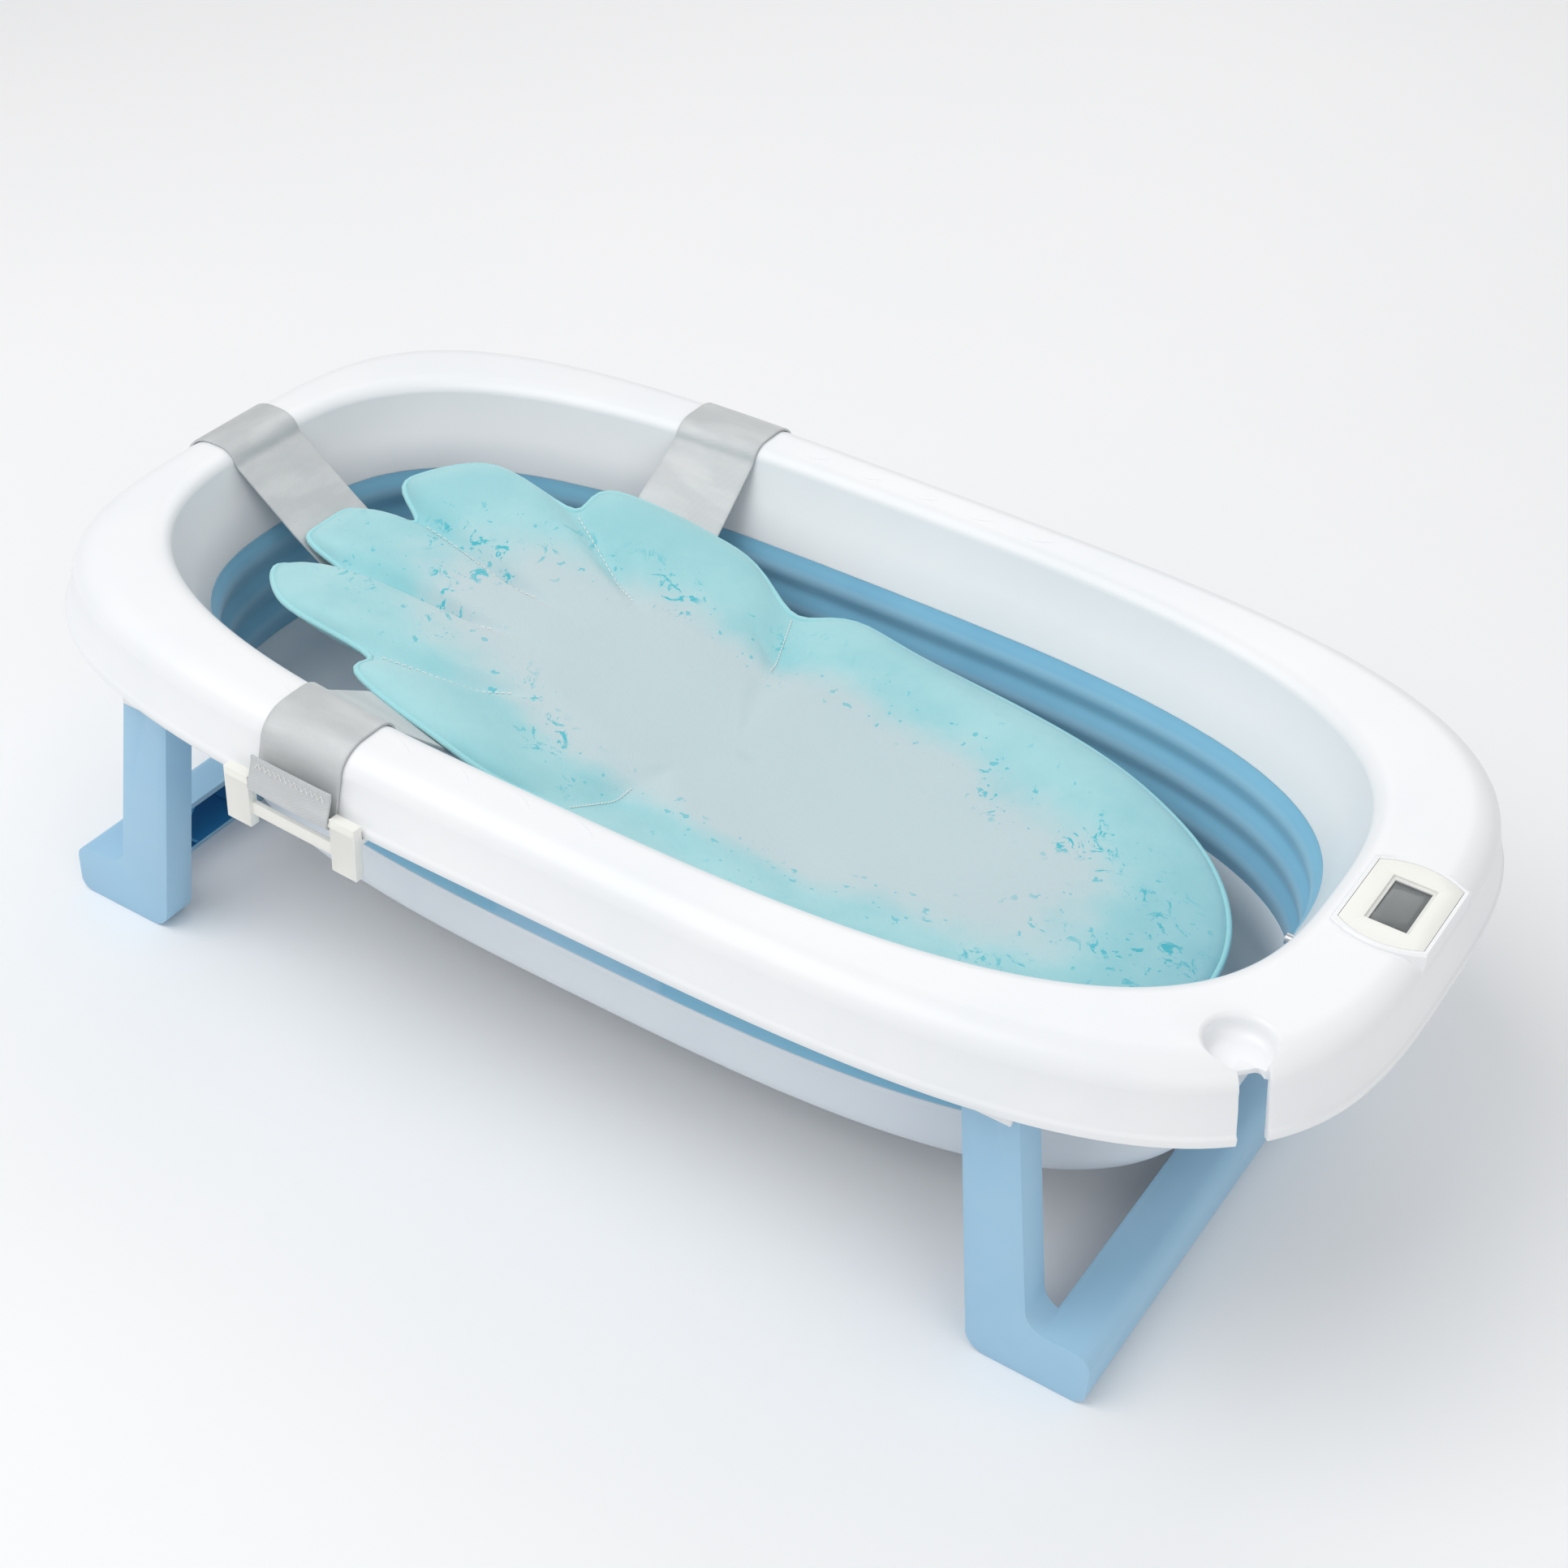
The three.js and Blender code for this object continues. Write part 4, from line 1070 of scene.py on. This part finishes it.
def hinges():
    for end in ("foot", "head"):
        for flank in ("near", "far"):
            corner = f"{end}_{flank}"
            dressed(f"{corner}_hinge_bracket", f"{corner}_bracket", "rim", "rim", 0.8 * mm)
            low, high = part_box(f"{corner}_hinge_pin")
            middle = (low + high) / 2
            near = flank == "near"
            deep = high.y - low.y
            head, shaft, step = pinShape["head"], pinShape["shaft"], pinShape["headDepth"]
            profile = [(0, 0), (head - 0.5 * mm, 0), (head, 0.4 * mm), (head, step), (shaft, step)]
            profile += [(shaft, deep - 0.5 * mm), (shaft - 0.4 * mm, deep), (0, deep)]
            start = (middle.x, high.y if near else low.y, middle.z)
            pin = spun(profile, start, (0, -1 if near else 1, 0), 32)
            finished(pin, f"{corner}_pin", "rim", finishes["steel"], 35, [f"{corner}_hinge_pin"])


hinges()
print("legs and hinges fitted")

# thermometer

def thermometer():
    for node, name, slot, finish, rounding, segments in (
        ("thermometer_faceplate", "thermometer_plate", "ivory_plastic", "ivory", 0.5, 3),
        ("display_lens", "thermometer_window", "clear_lens", "window", 0.25, 2),
        ("thermometer_housing", "thermometer_case", "white_plastic", "rim", 0.25, 2),
        ("battery_cover", "battery_lid", "white_plastic", "rim", 0.25, 2),
        ("liquid_crystal_display", "display_panel", "display", "panel", 0.25, 2),
        ("circuit_board", "board", "board", "board", 0.25, 2),
        ("battery_contact", "contact_spring", "steel", "steel", 0.25, 2),
        ("coin_cell", "button_cell", "steel", "steel", 0.25, 2),
        ("thermometer_seal", "plate_gasket", "grey_rubber", "seal", 0, 2),
        ("temperature_probe", "probe_sheath", "steel", "steel", 0, 2),
    ):
        dressed(node, name, "rim", finish, rounding * mm, segments)
    for i in range(1, 5):
        dressed(f"housing_screw_{i}", f"case_screw_{i}", "rim", "steel")


thermometer()
print("thermometer fitted")

# bath cushion

cushion = {
    "length": 604 * mm,
    "width": 270 * mm,
    "middle": rim["middle"] - 16 * mm,
    "power": 2.7,
    "thickness": 29 * mm,
    "restLength": 305 * mm,
    "restWidth": 138 * mm,
    "edgeShare": 0.14,
    "drop": 108 * mm,
    "headRise": 66 * mm,
    "sideRise": 34 * mm,
    "petalPitch": math.radians(33),
    "petals": 5,
    "notchDepth": 0.13,
    "channelWidth": 11 * mm,
    "channelStart": 0.55,
    "channelDepth": 0.86,
    "looseness": 0.12,
    "ruffle": 2.2 * mm,
    "rings": 22,
    "stations": 198,
    "swell": 5 * mm,  # how far any point may move
    "sewnShare": 0.985,
    "steps": 20,
    "folded": 0.15,  # how much of its height is left when the tub is folded
}


def petal(angle):  # 0 on a petal's middle, 1 in the valley between two
    away = abs(angle % turn - math.pi)
    if away > cushion["petalPitch"] * (cushion["petals"] + 1) / 2:
        return 0
    return (1 - math.cos(away / cushion["petalPitch"] * turn)) / 2


def cushionHeight(x, y):
    along = (x - cushion["middle"]) / cushion["restLength"]
    across = y / cushion["restWidth"]
    t = min(max((-along + 0.35) / 1.35, 0), 1)
    headLift = cushion["headRise"] * t * t * (3 - 2 * t)
    return rim["top"] - cushion["drop"] + headLift + cushion["sideRise"] * across ** 2


def padPlace(angle, share, side):
    valley = petal(angle)
    edge = squircle(angle, cushion["length"] / 2, cushion["width"] / 2, cushion["power"])
    edge *= 1 - cushion["notchDepth"] * valley ** 4
    plan = edge * share
    pitch = cushion["petalPitch"]
    away = abs(angle % turn - math.pi)
    offLine = abs(away / pitch - 0.5 - round(away / pitch - 0.5)) * pitch * plan.length
    inFan = away < pitch * (cushion["petals"] + 1) / 2
    fade = min(max((share - cushion["channelStart"]) / 0.15, 0), 1) if inFan else 0
    channel = 1 - cushion["channelDepth"] * fade * math.exp(-(offLine / cushion["channelWidth"]) ** 2)
    loose = 1 + cushion["looseness"] * noise.noise(Vector((plan.x * 22, plan.y * 22, 3.1)))
    crown = cushion["edgeShare"] + (1 - cushion["edgeShare"]) * math.sqrt(max(0, 1 - share ** 6))
    depth = cushion["thickness"] / 2 * crown * channel * loose
    x, y = plan.x + cushion["middle"], plan.y
    ruffle = cushion["ruffle"] * noise.noise(Vector((x * 16, y * 16, 7.7))) * share
    return Vector((x, y, cushionHeight(x, y) + side * depth + ruffle))


def padRow(share, side):
    return lambda station: padPlace(station / cushion["stations"] * turn, share, side)


stuffing = {
    "quality": 6,
    "mass": 0.2,
    "tension_stiffness": 12,
    "compression_stiffness": 8,
    "shear_stiffness": 5,
    "bending_stiffness": 0.4,
    "vertex_group_mass": "sewn",
    "use_pressure": True,
    "uniform_pressure_force": 4,
}


def inflate(piece, rest):
    pins = piece.vertex_groups.new(name="sewn")
    for corner in piece.data.vertices:
        share, valley = rest[corner.index]
        held = 1.0 if share > cushion["sewnShare"] else 0.0
        if share > cushion["channelStart"] + 0.05 and valley > cushion["sewnShare"]:
            held = 0.9
        pins.add([corner.index], held, "REPLACE")
    start = [corner.co.copy() for corner in piece.data.vertices]
    cloth = piece.modifiers.new("stuffing", "CLOTH")
    for setting, value in stuffing.items():
        setattr(cloth.settings, setting, value)
    cloth.settings.effector_weights.gravity = 0
    cloth.collision_settings.use_collision = False
    cloth.collision_settings.use_self_collision = False
    scene = bpy.context.scene
    for step in range(1, cushion["steps"] + 1):
        scene.frame_set(step)
    applyAll(piece)
    scene.frame_set(1)
    for corner, place in zip(piece.data.vertices, start):
        move = corner.co - place
        if move.length > cushion["swell"]:
            corner.co = place + move * (cushion["swell"] / move.length)


def bathCushion():
    shares = [0.03] + [((i + 1) / cushion["rings"]) ** 0.8 for i in range(cushion["rings"])]
    rows = [(share, -1) for share in shares] + [(share, 1) for share in reversed(shares)]
    piece = drawnRows(cushion["stations"], [padRow(*row) for row in rows], "fill")
    rest = []
    for corner in piece.data.vertices:
        x, y = corner.co.x - cushion["middle"], corner.co.y
        angle = math.atan2(y / cushion["width"], x / cushion["length"])
        edge = padPlace(angle, 1, 1)
        reach = math.hypot(edge.x - cushion["middle"], edge.y)
        rest.append((math.hypot(x, y) / reach, petal(angle)))
    inflate(piece, rest)
    smooth = piece.modifiers.new("smooth", "SUBSURF")
    smooth.levels = smooth.render_levels = 1
    applyAll(piece)
    finished(piece, "cushion", "rim", finishes["knit"], 180, ["bath_cushion"])
    return piece


cushionPiece = bathCushion()
cushionSurface = BVHTree.FromObject(cushionPiece, bpy.context.evaluated_depsgraph_get())
print("cushion stuffed")


seam = {"piping": 1.9 * mm, "thread": 0.38 * mm, "stitchLength": 0.011, "stitchPitch": 0.018}


def cushionSeams():
    count = 260
    rimLine = [(padPlace(i / count * turn, 1.0, 0), 1) for i in range(count)]
    piping = tubes([rimLine], seam["piping"], "cushion_piping", "rim", "piping", True)
    stitches = []
    pitch = cushion["petalPitch"]
    for k in range(-3, 3):
        angle = math.pi + (k + 0.5) * pitch
        share = cushion["channelStart"] + 0.06
        while share < 0.96:
            dash = []
            for part in (0, 0.5, 1):
                spot = padPlace(angle, share + part * seam["stitchLength"], 1)
                hit = cushionSurface.ray_cast(spot + Vector((0, 0, 0.05)), Vector((0, 0, -1)))
                lift = (0.15 + 0.5 * math.sin(part * math.pi)) * mm
                dash.append(((hit[0] or spot) + Vector((0, 0, lift)), 1))
            stitches.append(dash)
            share += seam["stitchPitch"]
    thread = tubes(stitches, seam["thread"], "cushion_stitches", "rim", "thread")
    for piece in (piping, thread):
        squashWithTray(piece)


def squashWithTray(piece):
    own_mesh(piece)


cushionSeams()
squashWithTray(cushionPiece)
print("cushion sewn")

# straps and clips

strap = {
    "width": 56 * mm,
    "thickness": 1.5 * mm,
    "seat": 0.55 * mm,
    "middleDepth": 0.8 * mm,
    "thread": 0.36 * mm,
    "teeth": 26,
    "sideX": rim["middle"] - 147 * mm,
    "headY": 5 * mm,
    "loop": 14 * mm,
    "tuck": 26 * mm,
    "steps": 130,
    "across": 14,
}
bar = {"radius": 2.2 * mm, "gap": 0.6 * mm, "height": 4.5 * mm, "y": 4.85 * mm}
routes = [
    ("near", 0, strap["sideX"], (-math.pi, 0)),
    ("far", 0, strap["sideX"], (0, math.pi)),
    ("head", 1, strap["headY"], (math.pi / 2, 3 * math.pi / 2)),
]


def padEdgeForStrap(angle, inset):
    edge = squircle(angle, cushion["restLength"] - inset, cushion["restWidth"] - inset, cushion["power"])
    return edge + Vector((cushion["middle"], 0))


# the strap's middle line in one plane: tail, loop round the bar, over the rim, down to the cushion
def strapLine(axis, value, angles):
    def at(section):
        return placed(section, crossingAngle(section, axis, value, *angles))

    start = at(onRim(0, skirtZ))
    inward = Vector((-start.x, -start.y, 0))
    inward[axis] = 0
    inward.normalize()
    off = strap["seat"] + strap["middleDepth"]
    skin = []
    for section in rimSkin[3:-3]:
        spot = at(section)
        skin.append(Vector(((spot - start).dot(inward), spot.z)))
    over = []
    for i, spot in enumerate(skin):
        along = (skin[min(i + 1, len(skin) - 1)] - skin[max(i - 1, 0)]).normalized()
        over.append(Vector((spot.x - along.y * off, spot.y + along.x * off)))
    wrap = bar["radius"] + bar["gap"] + strap["thickness"] / 2
    barZ = skirtZ + bar["height"]
    bends = [i / 12 * math.pi for i in range(13)]
    loop = [Vector((-bar["y"] - math.cos(a) * wrap, barZ - math.sin(a) * wrap)) for a in bends]
    tailX = -off - strap["thickness"] - 0.5 * mm
    tailZ = barZ + strap["loop"]
    tail = [Vector((tailX, tailZ + 4 * mm)), Vector((tailX - 0.15 * mm, tailZ))]
    landing = at((padEdgeForStrap, -1.1 * mm, 0))
    landing.z = cushionHeight(landing.x, landing.y)
    flatLanding = Vector(((landing - start).dot(inward), landing.z))
    tuck = landing + inward * strap["tuck"]
    under = cushionHeight(tuck.x, tuck.y) - cushion["thickness"] / 2 - 2.5 * mm
    flatTuck = Vector((flatLanding.x + strap["tuck"], under))
    line = [*tail, *loop, *over, flatLanding + Vector((0, -1.5 * mm)), flatTuck]
    return [start + inward * p.x + Vector((0, 0, p.y - start.z)) for p in line], -inward


def evenly(line, steps):
    lengths = [0]
    for first, second in zip(line, line[1:]):
        lengths.append(lengths[-1] + (second - first).length)
    made, k = [], 0
    for i in range(steps + 1):
        want = lengths[-1] * i / steps
        while k < len(line) - 2 and lengths[k + 1] < want:
            k += 1
        share = (want - lengths[k]) / max(lengths[k + 1] - lengths[k], 1e-9)
        made.append(line[k].lerp(line[k + 1], share))
    for _ in range(2):
        made = [made[0], *[(a + b * 2 + c) / 4 for a, b, c in zip(made, made[1:], made[2:])], made[-1]]
    return made, lengths[-1]


def strapBand(name, axis, value, angles):
    lines = []
    for i in range(strap["across"] + 1):
        offset = (i / strap["across"] - 0.5) * strap["width"]
        line, outward = strapLine(axis, value + offset, angles)
        spots, length = evenly(line, strap["steps"])
        lines.append(spots)
    deselect()
    bpy.ops.mesh.primitive_grid_add(x_subdivisions=strap["across"], y_subdivisions=strap["steps"], size=1)
    band = bpy.context.object
    for corner in band.data.vertices:
        i = round((corner.co.x + 0.5) * strap["across"])
        j = round((corner.co.y + 0.5) * strap["steps"])
        corner.co = lines[i][j]
    cloth = band.modifiers.new("cloth", "SOLIDIFY")
    cloth.thickness = strap["thickness"]
    cloth.offset = 0
    applyAll(band)
    bpy.ops.object.mode_set(mode="EDIT")
    faceOutwards()
    roundEdges(band, 0.4 * mm, 2, 60)
    satin = satinWebbing(strap["width"], length)
    finished(band, f"{name}_webbing", "rim", satin, 40, [f"{name}_strap"])
    return lines, outward


def zigzagStitch(name, lines, outward):
    points = []
    for i in range(strap["teeth"] + 1):
        across = 1 + (strap["across"] - 2) * i / strap["teeth"]
        k = min(int(across), strap["across"] - 1)
        low = lines[k][2].lerp(lines[k + 1][2], across - k)
        high = lines[k][4].lerp(lines[k + 1][4], across - k)
        spot = (low if i % 2 else high) + outward * (strap["thickness"] / 2 + 0.15 * mm)
        points.append((spot, 1))
    tubes([points], strap["thread"], f"{name}_strap_stitch", "rim", "thread")


for name, axis, value, angles in routes:
    lines, outward = strapBand(name, axis, value, angles)
    zigzagStitch(name, lines, outward)
    dressed(f"{name}_strap_clip", f"{name}_clip", "rim", "ivory", 0.9 * mm)
print("straps and clips fitted")

# floor and light

studio = {
    "sky": 0.5,
    "key": ((-0.9, -1.1, 2.3), 2.2, 35),
    "fill": ((1.9, -0.9, 1.5), 1.8, 9),
    "rim light": ((-0.4, 1.9, 1.7), 1.6, 10),
}


def paleFloor():
    deselect()
    bpy.ops.mesh.primitive_plane_add(size=14, location=(0, 0, -0.0002))
    floor = bpy.context.object
    floor.name = "floor"
    finish = Finish("pale floor")
    clouds = finish.grain(finish.place(), 3, 3)
    finish.tint(clouds, "#fbfbfc", "#f7f8f9")
    finish.feed("Roughness", 0.7 + clouds * 0.1)
    floor.data.materials.append(finish.material)


def softLight(name, place, size, power):
    bpy.ops.object.light_add(type="AREA", location=place)
    light = bpy.context.object
    light.name = name
    light.data.size = size
    light.data.energy = power
    light.rotation_euler = (Vector((0, 0, 0.15)) - Vector(place)).to_track_quat("-Z", "Y").to_euler()


paleFloor()
world = bpy.data.worlds.new("studio")
bpy.context.scene.world = world
world.use_nodes = True
world.node_tree.nodes["Background"].inputs["Color"].default_value = (1, 1, 1, 1)
world.node_tree.nodes["Background"].inputs["Strength"].default_value = studio["sky"]
for name in ("key", "fill", "rim light"):
    softLight(name, *studio[name])
bpy.context.scene.view_settings.view_transform = "Standard"
print("studio lit")
